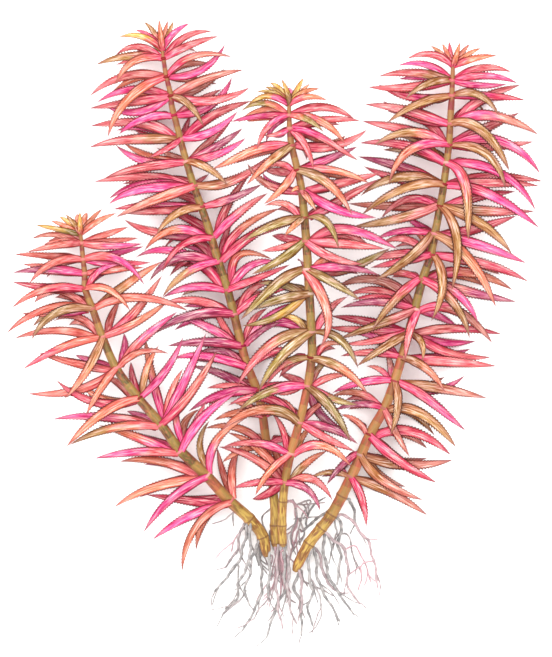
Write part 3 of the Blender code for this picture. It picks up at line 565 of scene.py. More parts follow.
# %% [markdown]
# ## The leaf's finish
# A blade has pale strokes along its middle, partly pale veins and partly painted highlight, and
# a painted shade towards its edges in a darker, redder tone of its own colour, which ends in a dark
# outline. One half is darker than the other as painted shade, and the tip is a dusky red. Painted
# texture would need a picture for each leaf. Noise stretched along the blade gives strokes to all
# of them, and each leaf's number shifts the noise, so that no two have the same strokes.

# %% Colour a blade from its foot to its tip
BLOTCH_STRETCH = 5.0
BLOTCH_SCALE = 1.1
BLOTCH_REACH = 0.8
TO_TIP_COLOUR = (0.2, 0.6)
TO_FOOT_COLOUR = (0.46, 0.08)
TO_SHADED_EDGE = (0.35, 0.88, 0.0, 0.9)
EDGE_PAINTED_SHADE = (0.84, 0.55, 0.44)


def leaf_ground(finish, along, across, shift):
    """The colours at the foot, low and high on a blade, mixed in blotches, with painted shade darker to
    its edges.
    """
    blotch = finish.noise(finish.vector(finish.times(along, BLOTCH_STRETCH), across, shift), BLOTCH_SCALE)
    border = finish.maths("ADD", along, finish.times(finish.maths("SUBTRACT", blotch, 0.5), BLOTCH_REACH))
    colour = finish.wash(finish.field("inner"), border, TO_TIP_COLOUR, finish.field("outer"))
    colour = finish.wash(colour, border, TO_FOOT_COLOUR, finish.field("foot"))
    away = finish.maths("ABSOLUTE", across)
    # Painted shade: the blade turns darker and redder towards its edges.
    return finish.wash(colour, away, TO_SHADED_EDGE, EDGE_PAINTED_SHADE, "MULTIPLY")


# %% Draw strokes along a blade
# Pale strokes are partly pale veins and partly painted highlight. White strokes are painted highlights.
PALE_STROKE = tone(255, 236, 226)
PALE_WASH = 0.35
LIGHTER = (1.6, 1.5, 1.45)
NEAR_MIDDLE = (1.0, 0.3)
SOFT_STROKES = (0.38, 0.6)
HIGHLIGHT_NEAR_MIDDLE = (1.0, 0.5)
HIGHLIGHT_STROKES = (0.55, 0.66, 0.0, 0.85)
HIGHLIGHT_FROM_FOOT = (0.04, 0.2)
HIGHLIGHT_WHITENESS = 0.7
DARK_STROKE = linear(190, 92, 92)
DARK_STROKES = (0.5, 0.3, 0.0, 0.7)
SHADED_HALF = (-0.1, 0.12, 0.0, 0.34)


def stroked(finish, colour, along, across, shift, stroke, pale_share):
    """A blade's colour with pale strokes along its middle, partly veins and partly painted highlight,
    white painted highlights, dark strokes, and one half darker as painted shade.
    """
    away = finish.maths("ABSOLUTE", across)
    # Pale strokes near the middle: partly pale veins and partly painted highlight.
    pale = finish.times(finish.ramp(away, *NEAR_MIDDLE), finish.ramp(stroke, *SOFT_STROKES))
    lighter = finish.mix(PALE_WASH, finish.mix(1.0, colour, LIGHTER, "MULTIPLY"), PALE_STROKE)
    colour = finish.mix(finish.times(pale, pale_share), colour, lighter)
    # White strokes near the middle, past the foot: painted highlights.
    highlight = finish.times(finish.ramp(stroke, *HIGHLIGHT_STROKES), finish.ramp(along, *HIGHLIGHT_FROM_FOOT))
    highlight = finish.times(highlight, finish.ramp(away, *HIGHLIGHT_NEAR_MIDDLE))
    colour = finish.mix(highlight, colour, finish.mix(HIGHLIGHT_WHITENESS, lighter, PALE_STROKE))
    # Painted shade: one half of the folded blade is darker.
    half = finish.times(across, finish.maths("SINE", shift))
    colour = finish.wash(colour, half, SHADED_HALF, DARK_STROKE, "MULTIPLY")
    return finish.wash(colour, stroke, DARK_STROKES, DARK_STROKE, "MULTIPLY")


# %% Make the leaf's finish
LEAF_ROUGHNESS = 0.62
LEAF_SHINE = 0.2
NUMBER_SHIFT = 7.31
STROKE_STRETCH = (4.0, 3.2)
STROKE_NOISE = (1.6, 3.0)
OUTLINE_FROM = (0.68, 0.9)
OUTLINE_GROWS = (0.0, 0.4, 0.6)
DARK_EDGE = linear(96, 40, 52)
TO_TIP = (0.78, 1.0, 0.0, 0.75)
DUSKY_TIP = tone(138, 66, 72)
LEAF_BUMP = (0.35, 0.2 * MM)


def leaf_finish(name, edge_share, pale_share):
    """The finish of a blade, with more or less of its dark outline and of its pale strokes, which are
    partly veins and partly painted highlight.
    """
    finish = Finish(name, LEAF_ROUGHNESS, LEAF_SHINE)
    along, across, number = finish.parts(finish.field("blade"))
    shift = finish.times(number, NUMBER_SHIFT)
    place = [finish.times(value, stretch) for value, stretch in zip((along, across), STROKE_STRETCH)]
    stroke = finish.noise(finish.vector(*place, shift), *STROKE_NOISE)
    colour = leaf_ground(finish, along, across, shift)
    colour = stroked(finish, colour, along, across, shift, stroke, pale_share)
    edge = finish.times(finish.ramp(finish.maths("ABSOLUTE", across), *OUTLINE_FROM),
                        finish.ramp(along, *OUTLINE_GROWS, edge_share))
    colour = finish.mix(edge, colour, DARK_EDGE, "MULTIPLY")
    colour = finish.wash(colour, along, TO_TIP, DUSKY_TIP)
    return finish.done(colour, stroke, *LEAF_BUMP)


leaf_material = leaf_finish("leaf", edge_share=1.0, pale_share=0.85)
young_material = leaf_finish("young_leaf", edge_share=0.85, pale_share=0.7)
print("leaf finishes:", leaf_material.name, young_material.name)

# %% [markdown]
# ## The collars
# At each joint the feet of the leaves run together into a low collar round the stem. A torus would
# sit like a washer. A ring turned from a flat bump instead swells out of the stem and back into
# it, and the feet of the blades sink into it.

# %% Turn a ring round a line
def ways_out(ahead, sides):
    """The turns round a line, and the ways out at each of them, from the line's ways ahead."""
    right = unit(np.cross(ahead, [0, 0, 1]))
    upper = np.cross(right, ahead)
    turns = np.arange(sides) * math.tau / sides
    rightwards = np.cos(turns)[:, None] * right[..., None, :]
    upwards = np.sin(turns)[:, None] * upper[..., None, :]
    return turns, rightwards + upwards


def turned(centre, axis, radius, bump, sides):
    """A ring turned round an axis from pairs of millimetres, along it and out from a radius."""
    axis = unit(axis)
    _, out = ways_out(axis, sides)
    bump = np.array(bump) * MM
    points = centre + bump[:, 0, None, None] * axis + (radius + bump[:, 1])[:, None, None] * out
    faces = []
    for row in range(len(bump)):
        faces += band(row * sides, (row + 1) % len(bump) * sides, sides)
    return points.reshape(-1, 3), faces


# %% Shape of a collar
COLLAR_SIDES = 28
COLLAR_BUMP = [(-0.75, -0.3), (-0.7, 0.06), (-0.45, 0.36), (-0.12, 0.62),
               (0.2, 0.56), (0.5, 0.28), (0.75, 0.04), (0.75, -0.3)]
print("collar length in mm:", COLLAR_BUMP[-1][0] - COLLAR_BUMP[0][0])


# %% [markdown]
# ## The lines of the stems
# The stems are soft round tubes with joints. Their centre lines are the ones that the CAD plant
# was built on: places in the picture, heights over the table and radii. Blender's own curves could
# carry a tube too. A short formula for a smooth curve also tells where each joint is along it, and
# the same curve reaches on through the shoot.

# %% Places in the picture
PLANT_LENGTH = 247.2
PICTURE_TOP = 20.0
PICTURE_BOTTOM = 638.0
PICTURE_MIDDLE = (275.6, 329.0)
PICTURE_UNIT = PLANT_LENGTH / (PICTURE_BOTTOM - PICTURE_TOP) * MM


def at(u, v, height=0.0):
    """A place in the picture, at a height in millimetres, as a point of the plant."""
    return np.array([(u - PICTURE_MIDDLE[0]) * PICTURE_UNIT, (PICTURE_MIDDLE[1] - v) * PICTURE_UNIT,
                     height * MM])


# %% The four stems, from the shoot to the roots
STEM_LINES = {
    "left_tall": [
        (172.3, 107, 15, 1.15), (176.5, 123, 15, 1.2), (184.8, 155, 15, 1.3), (194.5, 187, 15, 1.4),
        (206.8, 222, 15, 1.5), (219, 262, 15, 1.55), (228, 290, 15, 1.6), (242, 346, 15, 1.65),
        (248, 367, 14.5, 1.65), (256, 387, 14, 1.65), (262, 410, 12.5, 1.65), (268, 455, 10, 1.65),
        (272, 480, 9, 1.65), (274.5, 505, 7, 1.7), (275, 530, 6, 1.8), (275.4, 547, 6, 1.7),
    ],
    "middle": [
        (290.3, 139, 36, 1.2), (291.5, 148, 36, 1.25), (297.3, 172, 36, 1.35), (301.5, 193, 36, 1.45),
        (306, 242, 35, 1.6), (309, 294, 34, 1.65), (311.5, 340, 33, 1.65), (311.3, 358, 32, 1.65),
        (307.4, 385, 30, 1.6), (299.4, 421, 26.5, 1.6), (290.8, 452, 23, 1.6), (285.6, 478, 20, 1.6),
        (283, 500, 17.5, 1.6), (282, 524, 14.5, 1.65), (283, 546, 12, 1.6),
    ],
    "right": [
        (450.2, 109, 16, 1.25), (449.3, 125, 16, 1.25), (448, 146, 16, 1.3), (443, 185, 16, 1.4),
        (439.3, 207, 16, 1.45), (430, 255, 16, 1.55), (421.8, 280, 16, 1.6), (408, 333, 16, 1.7),
        (394, 381, 16, 1.8), (384, 408, 15.5, 1.85), (369.5, 434, 14.5, 1.9), (351, 476, 12.5, 2.0),
        (331.5, 513.7, 10, 2.1), (309, 543, 8, 2.1), (294.4, 571, 6.5, 1.8),
    ],
    "left_short": [
        (86.4, 281.5, 24, 1.2), (86.9, 290, 24, 1.25), (94, 309, 24, 1.35), (104, 337, 24, 1.5),
        (117.7, 368, 24.5, 1.6), (140, 398, 25, 1.7), (162, 423.5, 25, 1.8), (181, 449.4, 24, 1.9),
        (206.4, 474, 20, 2.0), (229.4, 499.6, 15, 2.1), (249.5, 518, 11, 2.15), (262.8, 536, 8, 2.1),
        (267, 556.5, 6.5, 1.8),
    ],
}
SHOOT_TIPS = {
    "left_tall": [(171.5, 97), (167, 78), (164, 60), (163, 52)],
    "middle": [(289.5, 131), (289, 118), (289, 108)],
    "right": [(451, 97), (451.5, 82), (452, 68)],
    "left_short": [(86.2, 274), (84.7, 260), (83, 244), (82, 235)],
}
print("points of the stems:", {name: len(rows) for name, rows in STEM_LINES.items()})

# %% A smooth curve through points
def smooth(rows, step):
    """Points on a smooth curve through rows of numbers, about a step apart along it."""
    rows = np.array(rows, float)
    padded = np.vstack([2 * rows[0] - rows[1], rows, 2 * rows[-1] - rows[-2]])
    found = []
    for k in range(1, len(padded) - 2):
        before, start, end, after = padded[k - 1:k + 3]
        count = max(2, math.ceil(np.linalg.norm((end - start)[:3]) / step))
        share = (np.arange(count) / count)[:, None]
        # The curve meets every row, and its slope there is the slope between the row's neighbours.
        found.append(0.5 * (2 * start + (end - before) * share
                            + (2 * before - 5 * start + 4 * end - after) * share ** 2
                            + (3 * start - before - 3 * end + after) * share ** 3))
    return np.vstack(found + [rows[-1:]])


# %% A tube along a curve
RIDGES = 7


def tube(rows, sides, ridge=0.0):
    """The points, faces and turns of a closed round tube through rows of a centre and a radius."""
    centres, radii = rows[:, :3], rows[:, 3]
    turns, out = ways_out(unit(np.gradient(centres, axis=0)), sides)
    reach = radii[:, None] * (1 + ridge * np.cos(RIDGES * turns))
    points = (centres[:, None] + out * reach[..., None]).reshape(-1, 3)
    faces = [tuple(range(sides))]
    for row in range(0, (len(rows) - 1) * sides, sides):
        for k in range(sides):
            j = (k + 1) % sides
            faces.append((row + k, row + sides + k, row + sides + j, row + j))
    faces.append(tuple(range((len(rows) - 1) * sides, len(rows) * sides))[::-1])
    return points, faces, np.tile(turns, len(rows))


# %% Draw each stem's whole line, from the shoot's tip to the roots
SHOOT_TAPER = 0.4
LINE_STEP = 0.45 * MM


def whole_line(stem):
    """Centres and radii along a stem and its shoot, and the row at which the shoot ends."""
    u, v, height, radius = STEM_LINES[stem][0]
    tips = SHOOT_TIPS[stem]
    shoot = [(*at(*tip, height), radius * MM * (1 - SHOOT_TAPER * (k + 1) / len(tips)))
             for k, tip in enumerate(tips)]
    rows = [(*at(u, v, height), radius * MM) for u, v, height, radius in STEM_LINES[stem]]
    line = smooth(shoot[::-1] + rows, LINE_STEP)
    return line, np.argmin(np.linalg.norm(line[:, :3] - at(u, v, height), axis=1))


lines = {stem: whole_line(stem) for stem in STEM_LINES}
print("points on the lines:", {stem: len(line) for stem, (line, _) in lines.items()})


def nearest_row(line, point):
    """The row of a line that is nearest to a point, seen from above."""
    return np.argmin(np.linalg.norm(line[:, :2] - point[:2], axis=1))


# %% [markdown]
# ## The stems' finish
# The stems are olive brown with dark streaks, and their flanks carry a red-brown painted shade.
# Below the leaves they turn coral, near the root end golden, and in the shoot crimson and brown.
# Each joint has a thin red-brown ring, and the stem is paler just above it than below. One colour
# with noise over it would look like a stick. So the mesh keeps how far each point is from the
# shoot, from its nearest joint and from the root end, and the rings and colours fall where they belong.

# %% Colour the bark of a stem
STEM_DARK = tone(84, 50, 30)
STEM_LIGHT = tone(154, 110, 56)
STEM_OLIVE = tone(118, 106, 48)
STEM_SHADED_SIDE = tone(140, 70, 54)
STEM_FLECK = tone(208, 103, 77)
STEM_CORAL = tone(212, 108, 80)
GOLDEN_DARK = tone(150, 98, 48)
GOLDEN_LIGHT = tone(226, 186, 92)
GOLDEN_SHADED_SIDE = tone(188, 112, 78)
LIGHT_STREAKS = (0.42, 0.64)
OLIVE_PATCHES = (0.42, 0.62, 0.0, 0.75)
CORAL_FLECKS = (0.52, 0.66, 0.0, 0.45)
GOLDEN_STREAKS = (0.42, 0.56)


def bark(finish, streak, fleck, patch, sides):
    """Olive brown with dark streaks, red-brown painted shade on the flanks and coral flecks."""
    colour = finish.wash(STEM_DARK, streak, LIGHT_STREAKS, STEM_LIGHT)
    colour = finish.wash(colour, patch, OLIVE_PATCHES, STEM_OLIVE)
    # Painted shade: the flanks of the stem, facing sideways, turn a darker red-brown.
    colour = finish.mix(sides, colour, STEM_SHADED_SIDE)
    return finish.wash(colour, fleck, CORAL_FLECKS, STEM_FLECK)


def golden_bark(finish, streak, sides):
    """Gold with brown streaks and painted shade on the flanks, for the root end."""
    golden = finish.wash(GOLDEN_DARK, streak, GOLDEN_STREAKS, GOLDEN_LIGHT)
    # Painted shade on the flanks, as on the rest of the stem.
    return finish.mix(sides, golden, GOLDEN_SHADED_SIDE)


# %% Mark the joints of a stem
JOINT_PALE = tone(202, 167, 85)
JOINT_RING = tone(108, 54, 42)
PALE_ABOVE_JOINT = (0.4, 2.6, 0.35, 0.0)
RING_ON_JOINT = (0.5, 0.15, 0.0, 0.65)


def jointed(finish, colour, joint):
    """A stem's colour with a thin ring at each joint, and paler above the ring than below."""
    colour = finish.wash(colour, joint, PALE_ABOVE_JOINT, JOINT_PALE)
    return finish.wash(colour, finish.maths("ABSOLUTE", joint), RING_ON_JOINT, JOINT_RING)


# %% Make the stems' finish
STEM_ROUGHNESS = 0.5
STEM_SHINE = 0.25
STEM_NOISES = [(0.09, 2.8, 4.0), (0.4, 1.9, 3.0), (0.06, 1.3, 2.0)]
TO_SHADED_SIDES = (0.45, 0.95, 0.0, 0.7)
BELOW_LEAVES = (80.0, 112.0)
ABOVE_ROOT_END = (22.0, 40.0)
CORAL_PATCHES = (0.62, 0.4, 0.35, 0.85)
TO_GOLDEN = (34.0, 18.0, 0.0, 0.8)
TO_UPPER_STEM = (40.0, 0.0, 0.0, 0.35)
TO_SHOOT = (8.0, -3.0, 0.0, 0.88)
TO_ROOT_END = (4.0, 0.0, 0.0, 0.5)
UPPER_STEM = tone(176, 78, 58)
SHOOT_CRIMSON = tone(150, 36, 56)
SHOOT_BROWN = tone(136, 68, 46)
BROWN_STREAKS = (0.46, 0.6)
ROOT_END = tone(150, 100, 66)
STEM_BUMP = (0.5, 0.3 * MM)


def stem_finish():
    """The finish of a stem. Its fields hold millimetres from the shoot, a joint and the root end."""
    finish = Finish("stem", STEM_ROUGHNESS, STEM_SHINE)
    down, joint, turn = finish.parts(finish.field("stem_place"))
    root_end = finish.parts(finish.field("stem_end"))[0]
    around = finish.maths("SINE", turn), finish.maths("COSINE", turn)
    streak, fleck, patch = [
        finish.noise(finish.vector(finish.times(down, stretch), *around), scale, detail)
        for stretch, scale, detail in STEM_NOISES]
    # The flanks, where the turn faces sideways, get the painted shade.
    sides = finish.ramp(finish.maths("ABSOLUTE", around[1]), *TO_SHADED_SIDES)
    colour = bark(finish, streak, fleck, patch, sides)
    low = finish.times(finish.ramp(down, *BELOW_LEAVES), finish.ramp(root_end, *ABOVE_ROOT_END))
    colour = finish.mix(finish.times(low, finish.ramp(patch, *CORAL_PATCHES)), colour, STEM_CORAL)
    colour = finish.wash(colour, root_end, TO_GOLDEN, golden_bark(finish, streak, sides))
    colour = finish.wash(colour, down, TO_UPPER_STEM, UPPER_STEM)
    shoot = finish.wash(SHOOT_CRIMSON, streak, BROWN_STREAKS, SHOOT_BROWN)
    colour = finish.wash(colour, down, TO_SHOOT, shoot)
    colour = jointed(finish, colour, joint)
    colour = finish.wash(colour, root_end, TO_ROOT_END, ROOT_END)
    return finish.done(colour, streak, *STEM_BUMP)


stem_material = stem_finish()

# %% [markdown]
# ## The roots' finish
# Water roots are fine grey threads, some flushed with pink. A finish for each colour of root would
# give many that are nearly the same. Here each root keeps its own share of pink in the mesh, and
# one finish adds it, with soft bands along the root.

# %% Make the roots' finish
ROOT_ROUGHNESS = 0.55
ROOT_SHINE = 0.5
ROOT_SHIFT = 3.7
BAND_STRETCH = 0.35
BAND_NOISE = (1.3, 3.0)
ROOT_DARK = tone(130, 126, 126)
ROOT_LIGHT = tone(194, 187, 184)
ROOT_PINK = tone(226, 176, 184)
LIGHT_BANDS = (0.3, 0.7)
PINK_BANDS = (0.2, 0.6, 0.5, 1.0)
ROOT_BUMP = (0.2, 0.15 * MM)


def root_finish():
    """The finish of the roots. Its field holds the distance along a root, its pink share and number."""
    finish = Finish("root", ROOT_ROUGHNESS, ROOT_SHINE)
    along, pink, number = finish.parts(finish.field("root_place"))
    shift = finish.times(number, ROOT_SHIFT)
    bands = finish.noise(finish.vector(finish.times(along, BAND_STRETCH), shift, 0.0), *BAND_NOISE)
    colour = finish.wash(ROOT_DARK, bands, LIGHT_BANDS, ROOT_LIGHT)
    colour = finish.mix(finish.times(pink, finish.ramp(bands, *PINK_BANDS)), colour, ROOT_PINK)
    return finish.done(colour, bands, *ROOT_BUMP)


root_material = root_finish()
print("other finishes:", stem_material.name, root_material.name)

# %% [markdown]
# ## Growing the whorls and crowns
# Now each whorl and each crown becomes one piece: a collar or a few, and one blade for each arm of
# its CAD node. One leaf could be drawn and copied round each joint, but no two leaves of a real
# whorl lie the same way, and the arms say how each one lies. The piece replaces the node, which
# stays for collision.

# %% Mix a leaf's three colours
LEANINGS = {
    ("middle", "O"): ("G", 0.75), ("left_short", "O"): ("G", 0.2), ("left_short", "R"): ("A", 0.45),
}
SHADE_SPREAD = 0.14
SHADE_TURN = 4.7
GOLD = tone(246, 184, 76)
GOLD_SHARE = 0.6
YOUNG_LENGTH = 16 * MM
FOOT_PINK = tone(246, 52, 128)
FLUSH = {"right": 0.85, "left_tall": 0.6, "middle": 0.5, "left_short": 0.3}
FAINT_FLUSH = {"O": 0.12, "G": 0.0, "Y": 0.1, "T": 0.3}


def tint(letter, stem):
    """A tint by its letter. On some stems it leans towards another one."""
    other, share = LEANINGS.get((stem, letter), (letter, 0))
    colour = tone(*TINTS[letter])
    return colour + (tone(*TINTS[other]) - colour) * share


def tints_of(pair, number, length, stem):
    """A leaf's colours at its foot, low down and high up. Feet are flushed pink, young leaves golden."""
    shade = 1 + SHADE_SPREAD * math.sin(SHADE_TURN * number)
    inner, outer = [shade * tint(letter, stem) for letter in pair]
    gold = GOLD_SHARE * np.clip(2 - 2 * length / YOUNG_LENGTH, 0, 1)
    flush = min(FLUSH[stem], FAINT_FLUSH.get(pair[0], 1.0))
    foot = inner + (FOOT_PINK - inner) * flush
    return foot, inner + (GOLD - inner) * gold / 2, outer + (GOLD - outer) * gold


# %% Add a node's blades, and the collar that joins them
COLLAR_SHADOW = (0.7, 0.4, 0.42)
COLLAR_PLACE = (0.12, 0.3)


def grow_leaves(mesh, node, stem, first):
    """Adds all the blades of a node to a mesh, and returns its hub and its mean colour."""
    found, hub = clockwise(leaves[node])
    line, _ = lines[stem]
    low_colours = []
    breadth = YOUNG_BREADTH if node.startswith("crown") else BREADTH[stem]
    for number, (leaf, pair) in enumerate(zip(found, LEAF_TINTS[node].split()), first):
        _, centres, _, _ = leaf
        core = line[nearest_row(line, centres[0]), :3]
        points, faces, places = blade(leaf, core, number, breadth)
        length = np.linalg.norm(centres[-1] - centres[0])
        foot, inner, outer = tints_of(pair, number, length, stem)
        low_colours.append(inner)
        mesh.add(points, faces, blade=places, foot=foot, inner=inner, outer=outer)
    return hub, np.mean(low_colours, axis=0)


def add_collar(mesh, line, hub, colour, number):
    """Adds the collar of a joint, where the feet of the leaves meet, in their colour darkened as a
    painted shadow under them.
    """
    k = np.clip(nearest_row(line, hub), 1, len(line) - 2)
    axis = line[k - 1, :3] - line[k + 1, :3]
    points, faces = turned(line[k, :3], axis, line[k, 3], COLLAR_BUMP, COLLAR_SIDES)
    # The collar is the leaves' colour darkened to crimson: a painted shadow under their feet.
    shade = colour * COLLAR_SHADOW
    mesh.add(points, faces, blade=(*COLLAR_PLACE, number), foot=shade, inner=shade, outer=shade)


# %% Grow every whorl
grown = 0
for whorl in whorls:
    stem = stem_of(whorl)
    mesh = Growing()
    hub, colour = grow_leaves(mesh, whorl, stem, grown)
    add_collar(mesh, lines[stem][0], hub, colour, grown)
    mesh.piece(whorl + "_leaves", leaf_material, "leaf", whorl)
    grown += len(leaves[whorl])
print("leaves grown on whorls:", grown)

# %% Grow every crown
for stem, tips in SHOOT_TIPS.items():
    crown = "crown_" + stem
    mesh = Growing()
    _, colour = grow_leaves(mesh, crown, stem, grown)
    for tip in tips[:-1]:
        add_collar(mesh, lines[stem][0], at(*tip), colour, grown)
    mesh.piece(crown + "_leaves", young_material, "young_leaf", crown)
    grown += len(leaves[crown])
print("leaves grown in all:", grown)

# %% [markdown]
# ## The stems
# Each stem is one tube with a slight swelling at every joint and a rounded root end. It could be
# joined from a rod and beads, but on the plant the swellings run out smoothly, so they are added to
# the radius instead. The shoot is drawn from the same line and is a piece of its own, because it
# belongs to the crown. The joints are where the whorls' hubs are, with a few bare ones near the roots.

# %% Measure a stem's joints
BARE_JOINTS = {
    "left_tall": [(273, 525), (275, 544)],
    "middle": [(283, 500), (281.7, 523.5), (282.8, 543)],
    "right": [(341.4, 495.4), (331.5, 513.7), (321.7, 527.7), (309, 543)],
    "left_short": [(249.5, 518), (262.8, 536)],
}


def joint_rows(stem, line):
    """The rows of a stem's line at which it has a joint."""
    hubs = [clockwise(leaves[whorl])[1] for whorl in whorls if stem_of(whorl) == stem]
    bare = [at(*place) for place in SHOOT_TIPS[stem][:-1] + BARE_JOINTS[stem]]
    return [nearest_row(line, joint) for joint in hubs + bare]


def run_of(line):
    """The distance along a line at each of its rows."""
    return np.concatenate([[0], np.cumsum(np.linalg.norm(np.diff(line[:, :3], axis=0), axis=1))])


# %% Swell a stem at its joints, and round its root end
STEM_FULLNESS = 1.06
JOINT_SWELLING = 0.12
SWELLING_REACH = 0.9
END_TAPER = 3.2
END_SHARE = 0.4


def swollen(line, away, to_end):
    """A stem's line with its radii, from the millimetres to the nearest joint and to the root end."""
    line = line.copy()
    line[:, 3] *= STEM_FULLNESS * (1 + JOINT_SWELLING * np.exp(-(away / SWELLING_REACH) ** 2))
    line[:, 3] *= END_SHARE + (1 - END_SHARE) * np.sqrt(np.clip(to_end / END_TAPER, 0, 1))
    return line


# %% Draw the stems and their shoots
STEM_SIDES = 36
STEM_RIDGE = 0.018


def draw_stem(name, node, line, down, away, to_end):
    """Makes one piece of a stem's line, with the distances that its finish reads."""
    points, faces, turns = tube(line, STEM_SIDES, STEM_RIDGE)
    places = np.stack([np.repeat(down, STEM_SIDES), np.repeat(away, STEM_SIDES), turns], axis=1)
    ends = np.repeat(to_end, STEM_SIDES)[:, None] * (1, 0, 0)
    mesh = Growing()
    mesh.add(points, faces, stem_place=places, stem_end=ends)
    mesh.piece(name, stem_material, "stem", node)


for stem, (line, shoot_end) in lines.items():
    run = run_of(line) / MM
    joints = joint_rows(stem, line)
    to_joints = run[:, None] - run[joints]
    away = to_joints[np.arange(len(line)), np.abs(to_joints).argmin(1)]
    to_end = run[-1] - run
    down = run - run[shoot_end]
    line = swollen(line, away, to_end)
    upper, lower = slice(0, shoot_end + 1), slice(shoot_end, None)
    for node, part, rows in (("crown_" + stem, "shoot", upper), ("stem_" + stem, "rind", lower)):
        draw_stem(f"{node}_{part}", node, line[rows], down[rows], away[rows], to_end[rows])
    print(stem, "joints:", len(joints), "length in mm:", round(run[-1]))


# %% [markdown]
# ## The roots
# The main roots are arms of the CAD stems, read back like the leaves, and drawn as round threads
# that thin towards their tips. Strands of hair would be quicker to lay, but a thread with a surface
# keeps its thickness from every side. Finer side roots are laid between the main ones by their
# places in the picture. Each starts on the nearest thread and sinks to the table. A bundle of thin
# pink roots lies below the middle stem, and rootlets grow from all but these.

# %% Draw a thread
THREAD_SIDES = 8
THREAD_STEP = 0.7 * MM
ROOT_RADIUS = 0.6 * MM
WANDER = 0.42 * MM
WANDER_TURN = 0.6
WANDER_SIDEWAYS = 0.6
RIPPLE = 0.2
RIPPLE_TURN = 1.7
BEADING = 0.14
THINNING = 0.3
TIP_SHARE = 0.5


def thread(mesh, route, radius, pink, number):
    """Adds one root through points, with a slight wander, and returns its line."""
    line = smooth(route, THREAD_STEP)
    run = run_of(line) / MM
    share = run / run[-1]
    waves = np.sin(run * WANDER_TURN + number) + RIPPLE * np.sin(run * RIPPLE_TURN)
    wander = WANDER * waves * np.sin(math.pi * share)
    wander *= min(1.0, radius / ROOT_RADIUS)
    line[:, 0] += wander
    line[:, 1] += WANDER_SIDEWAYS * wander * math.sin(number)
    beads = 1 + BEADING * np.sin(run * RIPPLE_TURN + 2 * number)
    radii = radius * (1 - THINNING * share ** 3) * beads
    radii[-1] *= TIP_SHARE
    points, faces, _ = tube(np.column_stack([line, radii]), THREAD_SIDES)
    places = np.stack([np.repeat(run, THREAD_SIDES), np.full(len(points), pink),
                       np.full(len(points), number)], axis=1)
    mesh.add(points, faces, root_place=places)
    return line


# %% Grow the main roots
ROOT_RINGS = 12
PINK_ROOTS = [
    (294, 548, 0.9), (377.8, 588, 0.5), (360, 604, 0.35), (341.4, 595, 0.35), (300.7, 613, 0.35),
    (225, 568, 0.2), (283, 628.7, 0.3), (297, 624.5, 0.2),
]
PINK_REACH = 1.5 * MM


def pink_of(tip):
    """The share of pink of the root that ends at a tip."""
    found = [share for u, v, share in PINK_ROOTS if np.linalg.norm(at(u, v)[:2] - tip[:2]) < PINK_REACH]
    return min(sum(found), 1.0)


threads = []
for stem in STEM_LINES:
    mesh = Growing()
    for rings, tip in arms_of("stem_" + stem, ROOT_RINGS):
        route = np.array([ring.mean(0) for ring in rings] + [tip])
        pink = pink_of(tip)
        threads.append((thread(mesh, route, ROOT_RADIUS, pink, len(threads)), pink))
    mesh.piece("roots_" + stem, root_material, "stem", "stem_" + stem)
print("main roots:", len(threads))

# %% Lay the fine roots
FINE_ROOTS = [
    (0.0, (239, 567), (237.5, 581), (240, 589)), (0.1, (246, 591), (236, 603.5), (222, 614.7)),
    (0.0, (244.5, 528), (250, 540), (258.6, 564)), (0.2, (267, 599), (258.6, 610.5), (253, 620)),
    (0.2, (287, 591), (290, 598), (296.5, 603.5)), (0.2, (302, 571), (304, 580), (307.7, 586.6)),
    (0.1, (313.3, 581), (320, 599), (321.7, 610.5), (320, 620)),
    (0.0, (327.3, 533.3), (331.5, 550), (328.7, 564)), (0.1, (348.4, 536), (354, 558.6), (356.8, 569.8)),
    (0.8, (355.4, 546), (365, 564), (370.8, 582.4)), (0.8, (362.4, 564), (361, 578), (357.5, 592)),
    (0.0, (334.3, 518), (336, 526), (337, 534.7)), (0.0, (306, 523.5), (312, 506.7), (326, 496.8)),
    (0.1, (298, 504), (303.5, 505), (307.7, 515)), (0.1, (232.6, 513.7), (233, 520), (234, 526)),
    (0.8, (241.7, 527.7), (234.7, 540), (231, 552)), (0.1, (271, 508), (262.8, 516.5), (262.8, 526)),
    (1.0, (277, 550), (279, 565), (277, 583)), (1.0, (281.5, 551), (283, 568), (284, 590)),
    (0.9, (279, 551), (281.5, 572), (280, 598)), (0.8, (285, 550), (287, 570), (285, 592)),
    (0.9, (275, 552), (276, 570), (273, 588)), (0.5, (272, 556), (270, 572), (267, 590)),
    (0.1, (293, 500), (297, 514), (292, 530), (291, 544)), (0.1, (300, 520), (304, 532), (299, 545)),
    (0.1, (310, 500), (303, 514), (298, 530)), (0.7, (299, 530), (293, 546), (290, 560)),
]
FINE_RADIUS = 0.38 * MM
FINE_DROP = 6 * MM
LOWEST = 0.4 * MM
anchors = np.vstack([line for line, _ in threads] + [line[:, :3] for line, _ in lines.values()])
fine = Growing()
reaches = []
for number, (pink, *places) in enumerate(FINE_ROOTS, len(threads)):
    route = [at(*place) for place in places]
    away = np.linalg.norm(anchors[:, :2] - route[0][:2], axis=1)
    reaches.append(away.min() / MM)
    route = np.array([anchors[away.argmin()]] + route)
    height = route[0, 2]
    route[:, 2] = np.linspace(height, max(LOWEST, height - FINE_DROP), len(route))
    threads.append((thread(fine, route, FINE_RADIUS, pink, number), pink))
print("fine roots:", len(FINE_ROOTS), "farthest start from a thread in mm:", round(max(reaches), 1))

